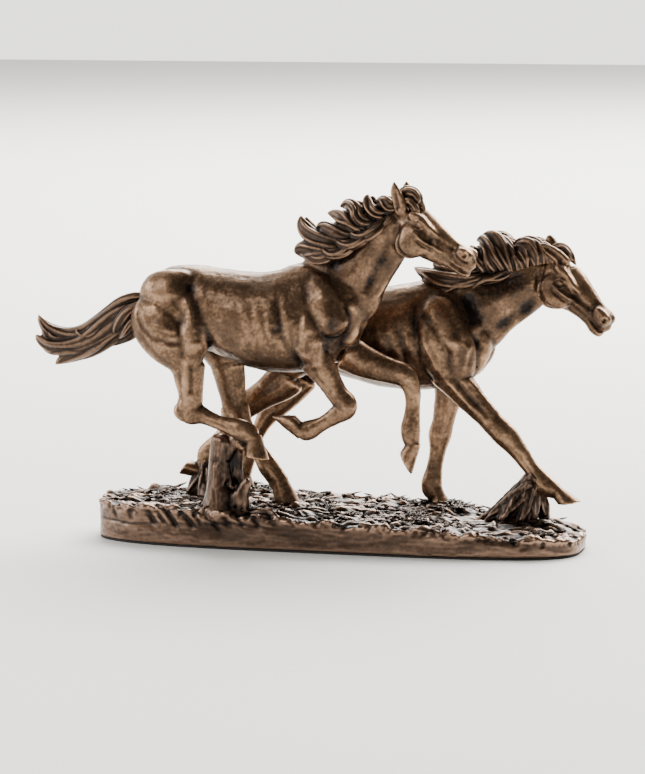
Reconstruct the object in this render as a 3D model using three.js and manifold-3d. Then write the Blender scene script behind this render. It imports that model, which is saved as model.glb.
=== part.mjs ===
// Two galloping horses in solid cold-cast bronze, carried on one hollow ground casting.
// Millimetres, +X the way the horses run, +Z up, origin at the centre of the base's underside.
// The horses' right sides face -Y. The trailing horse stands on the -Y side of the leading one.

import * as THREE from "three";
import { mergeVertices } from "three/addons/utils/BufferGeometryUtils.js";
import Module from "manifold-3d";

const wasm = await Module();
wasm.setup();

// ---- driving dimensions ----

const GAP = 0.3; // clearance between pieces that touch

const FELT_THICKNESS = 1.5;
const BASE_HALF_LENGTH = 168;
const BASE_HALF_WIDTH = 52;
const BASE_CENTRE_X = -1;
const BASE_ROUNDNESS = 3.4; // exponent of the superellipse that the plan follows
const BASE_HIGH = 25; // height of the ground above the table at the rear
const BASE_DROP = 14; // how much lower the ground is at the front
const BASE_LEVEL_UNTIL = -75; // the ground is level behind this x
const BASE_FALL_POWER = 1.4;
const WALL = 4;
const COVER_THICKNESS = 2.8;
const PLAN_STEPS = 32; // pairs of edges that the plan's curve is drawn with

const STUD_RADIUS = 2;
const STUD_EMBED = 7; // how far a stud is cast into the piece that it holds
const BORE_RADIUS = STUD_RADIUS + GAP;
const SEAT_RADIUS = 6.5;
const SEAT_DEPTH = 4.6; // from the ground's surface down to a nut's seat
const WASHER_RADIUS = 4.5;
const WASHER_THICKNESS = 0.8;
const NUT_RADIUS = 4;
const NUT_HEIGHT = 2.2;
const STUD_TAIL = 0.7; // thread left below the nut

const SCREW_RADIUS = 1.5;
const SCREW_HEAD_RADIUS = 3;
const SCREW_HEAD_HEIGHT = 1.6;
const SCREW_LENGTH = 8;
const SCREW_BOSS_RADIUS = 4.5;
const SCREW_X = 128;
const SCREW_Y = 27;

const HOOF_ROOT = 3; // how far a hoof's cone reaches up inside the pastern

// ---- finishes ----

const FINISHES = {
  bronze: { color: 0x7a553d, roughness: 0.42, metalness: 0.85 },
  dark_bronze: { color: 0x54392a, roughness: 0.5, metalness: 0.8 },
  zinc_steel: { color: 0x9a9d9f, roughness: 0.4, metalness: 0.9 },
  hardboard: { color: 0x6a4a30, roughness: 0.85, metalness: 0 },
  felt: { color: 0x1c1a18, roughness: 1, metalness: 0 },
};

// ---- solids ----

function toSolid(geometry) {
  const bare = geometry.index ? geometry.toNonIndexed() : geometry.clone();
  bare.deleteAttribute("normal");
  bare.deleteAttribute("uv");
  const merged = mergeVertices(bare, 1e-4);
  const corners = merged.index.array;
  const faces = [];
  for (let i = 0; i < corners.length; i += 3) {
    const [a, b, c] = [corners[i], corners[i + 1], corners[i + 2]];
    if (a !== b && b !== c && c !== a) {
      faces.push(a, b, c);
    }
  }
  const mesh = new wasm.Mesh({
    numProp: 3,
    vertProperties: new Float32Array(merged.attributes.position.array),
    triVerts: new Uint32Array(faces),
  });
  return new wasm.Manifold(mesh);
}

function toMesh(name, solid, finish) {
  const { vertProperties, triVerts } = solid.getMesh();
  const geometry = new THREE.BufferGeometry();
  geometry.setAttribute("position", new THREE.BufferAttribute(vertProperties, 3));
  geometry.setIndex(new THREE.BufferAttribute(triVerts, 1));
  geometry.computeVertexNormals();
  const mesh = new THREE.Mesh(geometry, new THREE.MeshStandardMaterial(FINISHES[finish]));
  mesh.name = name;
  return mesh;
}

function joined(solids) {
  return solids.reduce((whole, solid) => whole.add(solid));
}

// A rounded mass along a spine. Each station is [x, y, z, half depth, half width]:
// the depth lies in the horse's own upright plane and the width lies across it.
// blunt is the share of the spine that each rounded end takes.
function mass({ spine, sides = 10, rings = 9, blunt = 0.16 }, grow = 0) {
  const path = new THREE.CatmullRomCurve3(spine.map(([x, y, z]) => new THREE.Vector3(x, y, z)));
  const sizes = new THREE.CatmullRomCurve3(spine.map((s) => new THREE.Vector3(s[3], s[4], 0)));
  const ball = new THREE.SphereGeometry(1, sides, rings);
  const points = ball.attributes.position;
  const across = new THREE.Vector3(0, 1, 0);
  for (let i = 0; i < points.count; i += 1) {
    const unit = new THREE.Vector3().fromBufferAttribute(points, i);
    const along = Math.acos(THREE.MathUtils.clamp(unit.y, -1, 1)) / Math.PI;
    const turn = Math.atan2(unit.z, unit.x);
    const toEnd = Math.min(Math.min(along, 1 - along) / blunt, 1);
    const full = Math.sqrt(Math.max(0, 1 - (1 - toEnd) ** 2));
    const tangent = path.getTangent(along);
    const depth = new THREE.Vector3().crossVectors(across, tangent).normalize();
    const side = new THREE.Vector3().crossVectors(tangent, depth);
    const size = sizes.getPoint(along);
    const place = path.getPoint(along);
    place.addScaledVector(depth, full * Math.cos(turn) * (size.x + grow));
    place.addScaledVector(side, full * Math.sin(turn) * (size.y + grow));
    place.addScaledVector(tangent, grow * (2 * along - 1));
    points.setXYZ(i, place.x, place.y, place.z);
  }
  const solid = toSolid(ball);
  return solid.volume() < 0 ? toSolid(flipped(ball)) : solid;
}

function flipped(geometry) {
  const turned = geometry.clone();
  const corners = turned.index.array;
  for (let i = 0; i < corners.length; i += 3) {
    [corners[i], corners[i + 1]] = [corners[i + 1], corners[i]];
  }
  return turned;
}

// A hoof: a flared, slightly narrow cone from the coronet down to the sole.
function hoof({ coronet, sole, radii = [6, 8] }, grow = 0) {
  const start = new THREE.Vector3(...coronet);
  const end = new THREE.Vector3(...sole);
  start.addScaledVector(new THREE.Vector3().subVectors(start, end).normalize(), HOOF_ROOT);
  const run = new THREE.Vector3().subVectors(end, start);
  const cone = new THREE.CylinderGeometry(radii[0] + grow, radii[1] + grow, run.length() + 2 * grow, 12);
  cone.scale(1, 1, 0.85);
  const down = run.clone().normalize().negate();
  const across = new THREE.Vector3(0, 1, 0);
  const front = new THREE.Vector3().crossVectors(down, across).normalize();
  const side = new THREE.Vector3().crossVectors(front, down);
  cone.applyMatrix4(new THREE.Matrix4().makeBasis(front, down, side));
  cone.translate(...start.add(end).multiplyScalar(0.5));
  return toSolid(cone);
}

function ear({ root, tip, radius = 4 }, grow = 0) {
  const spine = [
    [...root, radius, radius * 0.8],
    [...root.map((v, i) => v * 0.55 + tip[i] * 0.45), radius * 0.9, radius * 0.7],
    [...tip, 0.8, 0.6],
  ];
  return mass({ spine, sides: 8, rings: 6 }, grow);
}

function upright(radius, bottom, top, x, y, sides = 12) {
  const cylinder = new THREE.CylinderGeometry(radius, radius, top - bottom, sides);
  cylinder.rotateX(Math.PI / 2);
  cylinder.translate(x, y, (bottom + top) / 2);
  return toSolid(cylinder);
}

// ---- the ground ----

function groundHeight(x) {
  const start = BASE_LEVEL_UNTIL;
  const share = THREE.MathUtils.clamp((x - start) / (BASE_HALF_LENGTH - start), 0, 1);
  return BASE_HIGH - BASE_DROP * share ** BASE_FALL_POWER;
}

// A slab of the base's plan, drawn in by inset; its top and bottom follow two height functions.
function planSlab(inset, bottomAt, topAt) {
  const slab = new THREE.BoxGeometry(1, 1, 1, PLAN_STEPS, 1, 1);
  const points = slab.attributes.position;
  const power = 2 / BASE_ROUNDNESS;
  for (let i = 0; i < points.count; i += 1) {
    const turn = Math.PI * (0.5 - points.getX(i));
    const along = Math.sign(Math.cos(turn)) * Math.abs(Math.cos(turn)) ** power;
    const across = Math.max(0, Math.sin(turn)) ** power;
    const x = BASE_CENTRE_X + along * (BASE_HALF_LENGTH - inset);
    const y = Math.sign(points.getY(i)) * (across < 1e-3 ? 0 : across) * (BASE_HALF_WIDTH - inset);
    points.setXYZ(i, x, y, points.getZ(i) < 0 ? bottomAt(x) : topAt(x));
  }
  return toSolid(slab);
}

const level = (height) => () => height;
const RIM_BOTTOM = FELT_THICKNESS + GAP;
const COVER_TOP = RIM_BOTTOM + COVER_THICKNESS;

const SCREW_PLACES = [
  [-SCREW_X, -SCREW_Y],
  [-SCREW_X, SCREW_Y],
  [SCREW_X, -SCREW_Y],
  [SCREW_X, SCREW_Y],
];

// Where each casting stands on the ground, and how far up its stud starts.
const STUD_PLACES = {
  trailing_left_hind: [-36, -13],
  stump: [-72, -40],
  rear_tuft: [-99, 12],
  leading_left_fore: [63.5, 38],
  brush: [119, 12],
  leading_left_hind: [-78, 38],
};

const footHeight = (x) => groundHeight(x) + GAP;
const seatHeight = (x) => groundHeight(x) - SEAT_DEPTH;
const studBore = ([x, y]) => upright(BORE_RADIUS, 0, footHeight(x) + STUD_EMBED + GAP, x, y);
const aboveGround = planSlab(-20, (x) => groundHeight(x) + GAP, level(400));

function baseCasting() {
  const outer = planSlab(0, level(RIM_BOTTOM), groundHeight);
  const hollow = planSlab(WALL, level(0), (x) => groundHeight(x) - WALL);
  const within = planSlab(WALL / 2, level(COVER_TOP + GAP), groundHeight);
  const seats = Object.values(STUD_PLACES).map(([x, y]) =>
    upright(SEAT_RADIUS, seatHeight(x), groundHeight(x) - 1, x, y));
  const bosses = SCREW_PLACES.map(([x, y]) =>
    upright(SCREW_BOSS_RADIUS, COVER_TOP + GAP, groundHeight(x) - 1, x, y));
  const shell = outer.subtract(hollow).add(joined([...seats, ...bosses]).intersect(within));
  const bores = Object.values(STUD_PLACES).map(studBore);
  const pilots = SCREW_PLACES.map(([x, y]) =>
    upright(SCREW_RADIUS + GAP, 0, RIM_BOTTOM + SCREW_LENGTH + 2 * GAP, x, y));
  return shell.subtract(joined([...bores, ...pilots]));
}

function screw(x, y, radiusExtra = 0) {
  const start = RIM_BOTTOM;
  const profile = [
    [0, start - radiusExtra],
    [SCREW_HEAD_RADIUS + radiusExtra, start - radiusExtra],
    [SCREW_RADIUS + radiusExtra, start + SCREW_HEAD_HEIGHT],
    [SCREW_RADIUS + radiusExtra, start + SCREW_LENGTH - 2],
    [0, start + SCREW_LENGTH],
  ];
  return turned(profile, x, y);
}

function turned(profile, x, y, sides = 12) {
  const lathe = new THREE.LatheGeometry(profile.map(([r, z]) => new THREE.Vector2(r, z)), sides);
  lathe.rotateX(Math.PI / 2);
  lathe.translate(x, y, 0);
  return toSolid(lathe);
}

function baseCover() {
  const board = planSlab(WALL + GAP, level(RIM_BOTTOM), level(COVER_TOP));
  return board.subtract(joined(SCREW_PLACES.map(([x, y]) => screw(x, y, GAP))));
}

function washer(x, y) {
  const top = seatHeight(x) - GAP;
  const bottom = top - WASHER_THICKNESS;
  const profile = [
    [BORE_RADIUS, bottom],
    [WASHER_RADIUS, bottom],
    [WASHER_RADIUS, top],
    [BORE_RADIUS, top],
    [BORE_RADIUS, bottom],
  ];
  return turned(profile, x, y);
}

function nut(x, y) {
  const top = seatHeight(x) - 2 * GAP - WASHER_THICKNESS;
  const blank = upright(NUT_RADIUS, top - NUT_HEIGHT, top, x, y, 6);
  return blank.subtract(upright(BORE_RADIUS, top - NUT_HEIGHT - 1, top + 1, x, y));
}

function stud(x, y) {
  const bottom = seatHeight(x) - 2 * GAP - WASHER_THICKNESS - NUT_HEIGHT - STUD_TAIL;
  return upright(STUD_RADIUS, bottom, footHeight(x) + STUD_EMBED, x, y, 12);
}

// ---- the horses ----

const TRAILING = {
  torso: [
    { sides: 16, rings: 14, blunt: 0.12, spine: [
      [-136, -26, 160, 10, 9], [-118, -26, 159, 26, 21], [-101, -26, 160.5, 29.5, 24],
      [-84, -26, 160, 29, 24], [-66, -26, 156.5, 30.5, 25.5], [-47, -26, 153, 33.5, 27],
      [-28, -26, 154, 35.5, 26.5], [-10, -26, 158.5, 37, 24.5], [8, -26, 158, 32, 21],
      [25, -26.5, 151, 17, 13],
    ] },
    { spine: [[-121, -34, 174, 12, 8], [-108, -38, 154, 27, 12.5], [-97, -40, 134, 21, 11], [-96, -41, 114, 11, 7]] },
    { spine: [[-112, -18, 172, 12, 8], [-94, -14, 152, 26, 12], [-80, -12, 133, 18, 10.5], [-77, -12, 112, 10, 6.5]] },
    { spine: [[-20, -35, 186, 9, 6], [-6, -41, 166, 18, 9], [3, -42, 146, 20, 10], [-8, -39, 130, 12, 8]] },
    { spine: [[-20, -17, 186, 9, 6], [-6, -11, 166, 18, 9], [6, -11, 148, 20, 10], [6, -14, 130, 12, 8]] },
  ],
  head_and_neck: [
    { sides: 12, rings: 10, blunt: 0.12, spine: [
      [-10, -26, 158, 26, 14], [6, -26, 176, 30, 14.5], [17, -26.5, 191, 25, 12.5],
      [27, -27, 202, 22.5, 11], [37, -28, 214, 19.5, 10], [50, -30, 228, 12, 8],
    ] },
    { sides: 12, rings: 10, blunt: 0.14, spine: [
      [44, -28.5, 231, 7, 6], [54, -31, 219, 16, 10.5], [64, -34, 212.5, 16, 11],
      [74, -37, 207, 13, 8.5], [83.5, -39.5, 202.5, 10.5, 6.5], [92, -41.5, 198.5, 9.5, 6.5],
      [102, -44, 194, 5, 5],
    ] },
  ],
  ears: [
    { root: [49, -34, 226], tip: [45.5, -38.5, 250] },
    { root: [51, -25, 224], tip: [50.5, -22, 246] },
  ],
  legs: {
    right_hind: {
      column: [[-97, -41, 124, 12, 8], [-95, -41, 108, 10, 6.5], [-95, -41, 92, 9, 5.2],
        [-86.5, -41, 89.5, 6.5, 4], [-73.5, -41, 84, 5.5, 3.6], [-61.5, -41, 78.5, 7, 4.4],
        [-54, -41, 73.5, 5.5, 4]],
      hoof: { coronet: [-54, -41, 73.5], sole: [-43, -41, 62], radii: [5.5, 8] },
    },
    left_hind: {
      column: [[-78, -12, 122, 12, 7.5], [-75, -11, 102, 9.5, 6], [-70.5, -11, 86, 9, 5.2],
        [-63.5, -11, 74, 6.5, 4], [-54, -12, 58.5, 6, 3.6], [-46, -13, 44.5, 7, 4.4],
        [-40.5, -13, 36, 5.5, 4]],
      hoof: { coronet: [-41, -13, 37], sole: [-36, -13, 25], radii: [6, 8.5] },
      stud: "trailing_left_hind",
    },
    right_fore: {
      column: [[-9, -38.5, 130, 12, 8], [-3, -39, 122, 10, 6.5], [3, -39, 113, 8, 5.6],
        [12, -39, 99.5, 8, 5.2], [4, -39, 92, 5.5, 3.8], [-5.5, -39, 86, 5.5, 3.5],
        [-14, -39, 81.5, 7, 4.4], [-22, -39, 81, 5.5, 4]],
      hoof: { coronet: [-22, -39, 81], sole: [-32, -39, 87], radii: [5.5, 8] },
    },
    left_fore: {
      column: [[4, -14.5, 133, 13, 8.5], [17, -14, 126.5, 11.5, 7.2], [30, -13, 122, 9.5, 6],
        [45, -13, 118, 8.5, 5.2], [51.5, -13, 107.5, 6, 4], [52, -13, 92.5, 5.5, 3.5],
        [50, -13, 78.5, 7.5, 4.4], [51.5, -13, 70, 5.5, 4]],
      hoof: { coronet: [51, -13, 69], sole: [49, -13, 57], radii: [5.5, 7.5] },
    },
  },
  tail: [
    { spine: [[-130, -26, 164, 8, 6], [-138, -26, 156, 15, 8], [-148, -26, 151, 17, 9],
      [-158, -26, 145, 14.5, 8], [-170, -26, 137, 11.5, 7], [-182, -26, 132, 11, 6.5],
      [-195, -26, 132, 11, 5.5], [-208, -26, 141, 5, 3.5]] },
  ],
  mane: [
    { sides: 10, rings: 10, spine: [[-27, -28, 198, 3, 3], [-15, -28, 203, 9, 9], [0, -28.5, 212, 14, 13],
      [14, -29, 222, 13, 12], [28, -29.5, 231, 10, 10], [44, -29.5, 238, 6, 8]] },
    { sides: 8, rings: 7, spine: [[-24, -28, 224, 2, 2.5], [-14, -28, 216, 6, 5], [-2, -29, 214, 8, 7], [6, -29, 214, 6, 6]] },
    { sides: 8, rings: 7, spine: [[8, -38, 203, 3, 3], [14, -38, 211, 8, 5], [20, -35, 221, 8, 6], [26, -30, 231, 6, 6]] },
  ],
  forelock: [
    { sides: 8, rings: 8, spine: [[46, -30, 238, 4, 5], [54, -31, 240, 5, 6], [61, -33, 234, 4.5, 5], [65, -34, 226, 3, 3]] },
  ],
};

const LEADING = {
  torso: [
    { sides: 16, rings: 14, blunt: 0.12, spine: [
      [-62, 26, 150, 10, 9], [-44, 26, 147, 26, 21], [-27, 26, 146.5, 29.5, 24],
      [-10, 26, 144, 31, 25], [7.5, 26, 140.5, 32.5, 26.5], [27, 26, 138.5, 35, 27],
      [47, 26, 139.5, 37.5, 26], [65, 26, 142, 38, 24.5], [81, 26, 141, 33, 21],
      [98, 26, 134, 17, 13],
    ] },
    { spine: [[-47, 18, 162, 12, 8], [-35, 14, 143, 27, 12.5], [-30, 13, 124, 22, 11], [-42, 13, 106, 12, 7.5]] },
    { spine: [[-47, 34, 162, 12, 8], [-35, 38, 143, 26, 12], [-28, 38.5, 122, 20, 11], [-38, 38, 104, 12, 7.5]] },
    { spine: [[54, 17, 170, 9, 6], [66, 11, 152, 18, 9], [76, 10, 134, 18, 10], [70, 12, 118, 12, 8.5]] },
    { spine: [[54, 35, 170, 9, 6], [64, 41, 150, 18, 9], [68, 40, 130, 18, 9.5], [66, 38, 110, 11, 7.5]] },
  ],
  head_and_neck: [
    { sides: 12, rings: 10, blunt: 0.12, spine: [
      [62, 26, 142, 26, 14], [80, 26, 156, 31, 15.5], [98, 25.5, 168, 26.5, 13],
      [110.5, 25, 174, 24, 11.5], [124, 24, 179.5, 20.5, 10], [142, 21.5, 187, 11, 8],
    ] },
    { sides: 12, rings: 10, blunt: 0.14, spine: [
      [141, 22, 198, 7, 6], [144, 18, 182, 16.5, 10.5], [153, 16, 174.5, 16, 11],
      [161, 14, 169, 13, 8.5], [168, 12, 162.5, 10.5, 6.5], [175, 10, 155.5, 9.5, 6.5],
      [183, 7.5, 148.5, 5, 5],
    ] },
  ],
  ears: [
    { root: [149, 15, 189], tip: [132, 10.5, 206.5] },
    { root: [143, 24, 191], tip: [136, 27.5, 211] },
  ],
  legs: {
    right_hind: {
      column: [[-41, 13, 110, 14, 8], [-54, 13, 101, 11, 6.5], [-69, 13, 90.5, 9, 5.2],
        [-76.5, 13, 82, 6.5, 4], [-88.5, 13, 67, 6, 3.6], [-98, 13, 56, 7, 4.4],
        [-105, 13, 49.5, 5.5, 4]],
      hoof: { coronet: [-104, 13, 50], sole: [-115, 13, 43.5], radii: [5.5, 8] },
    },
    left_hind: {
      column: [[-38, 38, 108, 13, 8], [-48.5, 38, 94, 10.5, 6.5], [-58.5, 38, 85, 9, 5.2],
        [-64.5, 38, 76, 6.5, 4], [-72.5, 38, 61, 6, 3.6], [-79.5, 38, 45, 7, 4.4],
        [-80.5, 38, 36, 5.5, 4]],
      hoof: { coronet: [-80.5, 38, 36], sole: [-78, 38, 25.4], radii: [6, 8] },
      stud: "leading_left_hind",
    },
    right_fore: {
      column: [[67, 12, 121, 14, 8.5], [76, 11, 111.5, 11.5, 7.4], [90, 11, 96.5, 9, 6],
        [111, 11, 75, 8, 5.4], [120.5, 11, 64.5, 6.5, 4], [128, 11, 54.5, 5.5, 3.6],
        [137, 11, 43.5, 7.5, 4.4], [145, 11, 39.5, 5.5, 4]],
      hoof: { coronet: [145.5, 11, 39.5], sole: [159, 11, 34.5], radii: [5.5, 8] },
    },
    left_fore: {
      column: [[66, 38, 112, 12, 8], [66, 38, 100, 10, 6.8], [64, 38, 87.5, 8, 5.8],
        [60, 38, 70, 8, 5.4], [58, 38, 58, 6, 4], [55.5, 38, 45, 5.8, 3.6],
        [54.5, 38, 33, 7.5, 4.4], [60, 38, 27, 5.5, 4]],
      hoof: { coronet: [60, 38, 28], sole: [64.5, 38, 18.6], radii: [6, 8.5] },
      stud: "leading_left_fore",
    },
  },
  tail: [
    { spine: [[-56, 26, 160, 7, 5], [-67, 27, 159, 11.5, 7], [-80, 28, 156.5, 12.5, 8],
      [-93, 28, 152, 12, 7.5], [-106, 28, 147.5, 10.5, 6.5], [-118, 27, 144.5, 8, 5],
      [-130, 26, 147, 3, 2.5]] },
  ],
  mane: [
    { sides: 10, rings: 10, spine: [[42, 27, 186, 2.5, 3], [58, 26.5, 184, 7, 9], [76, 26, 187, 11.5, 13],
      [92, 26, 194, 13.5, 12.5], [108, 25, 197.5, 11.5, 11], [124, 24, 199.5, 8.5, 9.5], [142, 22, 199.5, 5, 7]] },
    { sides: 8, rings: 7, spine: [[104, 26, 212, 2, 2.5], [96, 26, 207, 6, 5], [86, 26, 199, 8, 7], [78, 26, 192, 7, 7]] },
    { sides: 8, rings: 7, spine: [[66, 14, 174, 3, 3], [78, 14, 179, 7, 5], [92, 14.5, 186, 8, 6], [106, 18, 194, 7, 6]] },
  ],
  forelock: [
    { sides: 8, rings: 8, spine: [[141, 21, 200, 4, 5], [148, 19.5, 200.5, 4.5, 6], [154, 17.5, 195, 4, 5], [157.5, 16, 188, 2.5, 3]] },
  ],
};

// The pieces that one horse is cast in. Each later piece is cut back where an earlier one is,
// so that the pieces meet face to face along a thin gap.
function castHorse(prefix, form) {
  const torso = joined(form.torso.map((part) => mass(part)));
  const torsoRoom = joined(form.torso.map((part) => mass(part, GAP)));
  const skull = (grow) => joined([
    ...form.head_and_neck.map((part) => mass(part, grow)),
    ...form.ears.map((part) => ear(part, grow)),
  ]);
  const manes = (grow) => joined(form.mane.map((part) => mass(part, grow)));
  const head = skull(0).subtract(torsoRoom);
  const mane = manes(0).subtract(torsoRoom).subtract(skull(GAP));
  const forelocks = joined(form.forelock.map((part) => mass(part)));
  const forelock = forelocks.subtract(skull(GAP)).subtract(manes(GAP));
  const tail = joined(form.tail.map((part) => mass(part))).subtract(torsoRoom);
  const pieces = { torso, head_and_neck: head, mane, forelock, tail };
  for (const [leg, { column, hoof: foot, stud: held }] of Object.entries(form.legs)) {
    const shaft = mass({ spine: column, rings: 16, blunt: 0.05 });
    const whole = shaft.add(hoof(foot)).subtract(torsoRoom);
    pieces[leg] = held ? whole.intersect(aboveGround).subtract(studBore(STUD_PLACES[held])) : whole;
  }
  return Object.entries(pieces).map(([part, solid]) => toMesh(`${prefix}_${part}`, solid, "bronze"));
}

// ---- what carries the lifted legs ----

const SUPPORTS = {
  stump_support: {
    stud: "stump",
    masses: [
      { rings: 10, spine: [[-72, -40, 18, 9, 8], [-74, -40, 36, 8, 7], [-74, -40, 52, 6.5, 6], [-72, -40, 66, 7, 6], [-69, -41, 79, 8, 6]] },
      { sides: 8, spine: [[-64, -39, 18, 7, 5], [-63.5, -39, 34, 5.5, 4.5], [-63, -39, 44, 2, 2]] },
      { sides: 8, spine: [[-72, -41, 62, 4, 4], [-66, -41, 70, 4.5, 4], [-62, -41, 76, 5, 4]] },
    ],
    clear: ["trailing", "right_hind"],
  },
  brush_support: {
    stud: "brush",
    masses: [
      { rings: 8, spine: [[120, 12, 8, 18, 9], [119, 12, 24, 12, 8], [121, 12, 34, 7, 6], [127, 11.5, 44, 6, 5], [132, 11, 50, 4, 4]] },
    ],
    clear: ["leading", "right_fore"],
  },
  rear_tuft: {
    stud: "rear_tuft",
    masses: [
      { rings: 8, spine: [[-97, 12, 16, 12, 8], [-99, 12, 28, 7, 6], [-100, 12.5, 40, 5, 5], [-99, 13, 54, 4, 4]] },
    ],
    clear: ["leading", "right_hind"],
  },
};

function support(name, { stud: held, masses, clear: [owner, leg] }) {
  const form = owner === "trailing" ? TRAILING : LEADING;
  const { column, hoof: foot } = form.legs[leg];
  const legRoom = mass({ spine: column, rings: 16, blunt: 0.05 }, GAP).add(hoof(foot, GAP));
  const solid = joined(masses.map((part) => mass(part)));
  const cut = solid.intersect(aboveGround).subtract(legRoom).subtract(studBore(STUD_PLACES[held]));
  return toMesh(name, cut, "dark_bronze");
}

// ---- the assembly ----

const group = new THREE.Group();
group.add(toMesh("base_felt", planSlab(0.8, level(0), level(FELT_THICKNESS)), "felt"));
group.add(toMesh("base_cover", baseCover(), "hardboard"));
group.add(toMesh("base_casting", baseCasting(), "dark_bronze"));
SCREW_PLACES.forEach(([x, y], i) => {
  group.add(toMesh(`cover_screw_${i + 1}`, screw(x, y), "zinc_steel"));
});
for (const [name, [x, y]] of Object.entries(STUD_PLACES)) {
  group.add(toMesh(`${name}_stud`, stud(x, y), "zinc_steel"));
  group.add(toMesh(`${name}_washer`, washer(x, y), "zinc_steel"));
  group.add(toMesh(`${name}_nut`, nut(x, y), "zinc_steel"));
}
for (const [name, form] of Object.entries(SUPPORTS)) {
  group.add(support(name, form));
}
for (const mesh of [...castHorse("trailing", TRAILING), ...castHorse("leading", LEADING)]) {
  group.add(mesh);
}

export default group;
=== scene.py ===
"""Looks of a cold-cast bronze statue: two galloping horses on a grassy ground base.

Lengths in the fields are millimetres in the statue's own frame: +X the way the horses run,
+Z up, the trailing horse on the -Y side. MM turns them into metres where a mesh is written.
"""

import logging
import math
from dataclasses import dataclass
from enum import Enum

import bmesh
import bpy
import numpy as np
from mathutils import Matrix, Vector, noise


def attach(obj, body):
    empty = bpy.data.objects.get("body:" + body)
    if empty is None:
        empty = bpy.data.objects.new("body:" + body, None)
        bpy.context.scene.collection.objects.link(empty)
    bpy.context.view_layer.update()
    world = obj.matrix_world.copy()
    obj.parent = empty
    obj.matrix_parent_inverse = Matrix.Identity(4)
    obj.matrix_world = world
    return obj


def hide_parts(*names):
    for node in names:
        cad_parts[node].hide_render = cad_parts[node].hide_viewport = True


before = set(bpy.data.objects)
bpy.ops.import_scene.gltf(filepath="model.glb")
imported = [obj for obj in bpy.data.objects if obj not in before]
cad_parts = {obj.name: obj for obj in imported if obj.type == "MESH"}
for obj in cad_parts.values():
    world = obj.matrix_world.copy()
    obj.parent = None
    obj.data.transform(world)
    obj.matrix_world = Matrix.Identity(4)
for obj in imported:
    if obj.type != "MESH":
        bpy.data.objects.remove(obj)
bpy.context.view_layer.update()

log = logging.getLogger("statue")

MM = 0.001
ROOT_BODY = "root"
# the attribute holds the rubbed patina together with the painted shade and painted highlights
PATINA_AND_PAINTED_LIGHT = "patina"
ACROSS = np.array([0.0, 1.0, 0.0])

Point = tuple[float, float, float]
Flat = tuple[float, float]
Station = tuple[float, float, float, float, float]


# ---- working clay ----


def spline(rows: np.ndarray, at: np.ndarray) -> np.ndarray:
    """Read a smooth curve through rows of numbers.

    Args:
        rows: one row for each station.
        at: shares of the curve, 0 at the first row and 1 at the last.

    Returns:
        One interpolated row for each share.
    """
    count = len(rows) - 1
    padded = np.vstack([2 * rows[0] - rows[1], rows, 2 * rows[-1] - rows[-2]])
    place = np.clip(at, 0.0, 1.0) * count
    cell = np.minimum(place.astype(int), count - 1)
    t = (place - cell)[:, None]
    a, b, c, d = (padded[cell + k] for k in range(4))
    cubic = 3 * b - a - 3 * c + d
    square = 2 * a - 5 * b + 4 * c - d
    return 0.5 * (2 * b + (c - a) * t + square * t**2 + cubic * t**3)


def framed(rows: np.ndarray, at: np.ndarray) -> tuple[np.ndarray, np.ndarray, np.ndarray]:
    """Give the interpolated stations of a spine and the two directions across it.

    Args:
        rows: the spine's stations, place first.
        at: shares of the spine.

    Returns:
        The stations, the direction in the upright plane, and the sideways direction.
    """
    step = 0.5 / (len(rows) * 4)
    tangent = spline(rows, at + step)[:, :3] - spline(rows, at - step)[:, :3]
    tangent /= np.linalg.norm(tangent, axis=1, keepdims=True)
    depth = np.cross(ACROSS, tangent)
    depth /= np.linalg.norm(depth, axis=1, keepdims=True)
    return spline(rows, at), depth, np.cross(tangent, depth)


def wrap(bm: bmesh.types.BMesh, stations: list[Station], sides: int, rings: int, blunt: float) -> None:
    """Stretch a ball along a spine of stations and add it to a mesh.

    Args:
        bm: the mesh that receives the closed shape.
        stations: rows of x, y, z, half depth and half width.
        sides: segments round the spine.
        rings: segments along the spine.
        blunt: the share of the spine that each rounded end takes.
    """
    ball = bmesh.new()
    bmesh.ops.create_uvsphere(ball, u_segments=sides, v_segments=rings, radius=1.0)
    unit = np.array([vert.co for vert in ball.verts])
    along = np.arccos(np.clip(unit[:, 2], -1.0, 1.0)) / math.pi
    turn = np.arctan2(unit[:, 1], unit[:, 0])
    rows, depth, side = framed(np.array(stations, dtype=float), along)
    end = np.minimum(np.minimum(along, 1.0 - along) / blunt, 1.0)
    full = np.sqrt(np.maximum(0.0, 1.0 - (1.0 - end) ** 2))
    out = depth * (np.cos(turn) * full * rows[:, 3])[:, None]
    out += side * (np.sin(turn) * full * rows[:, 4])[:, None]
    for vert, place in zip(ball.verts, (rows[:, :3] + out) * MM):
        vert.co = place
    carrier = bpy.data.meshes.new("carrier")
    ball.to_mesh(carrier)
    ball.free()
    bm.from_mesh(carrier)
    bpy.data.meshes.remove(carrier)


@dataclass(frozen=True)
class Mass:
    """A rounded mass of clay along a spine of x, y, z, half depth and half width."""

    spine: tuple[Station, ...]
    blunt: float = 0.16
    sides: int = 24
    rings: int = 28

    def add_to(self, bm: bmesh.types.BMesh) -> None:
        """Add the mass to a mesh."""
        wrap(bm, list(self.spine), self.sides, self.rings, self.blunt)


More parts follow.
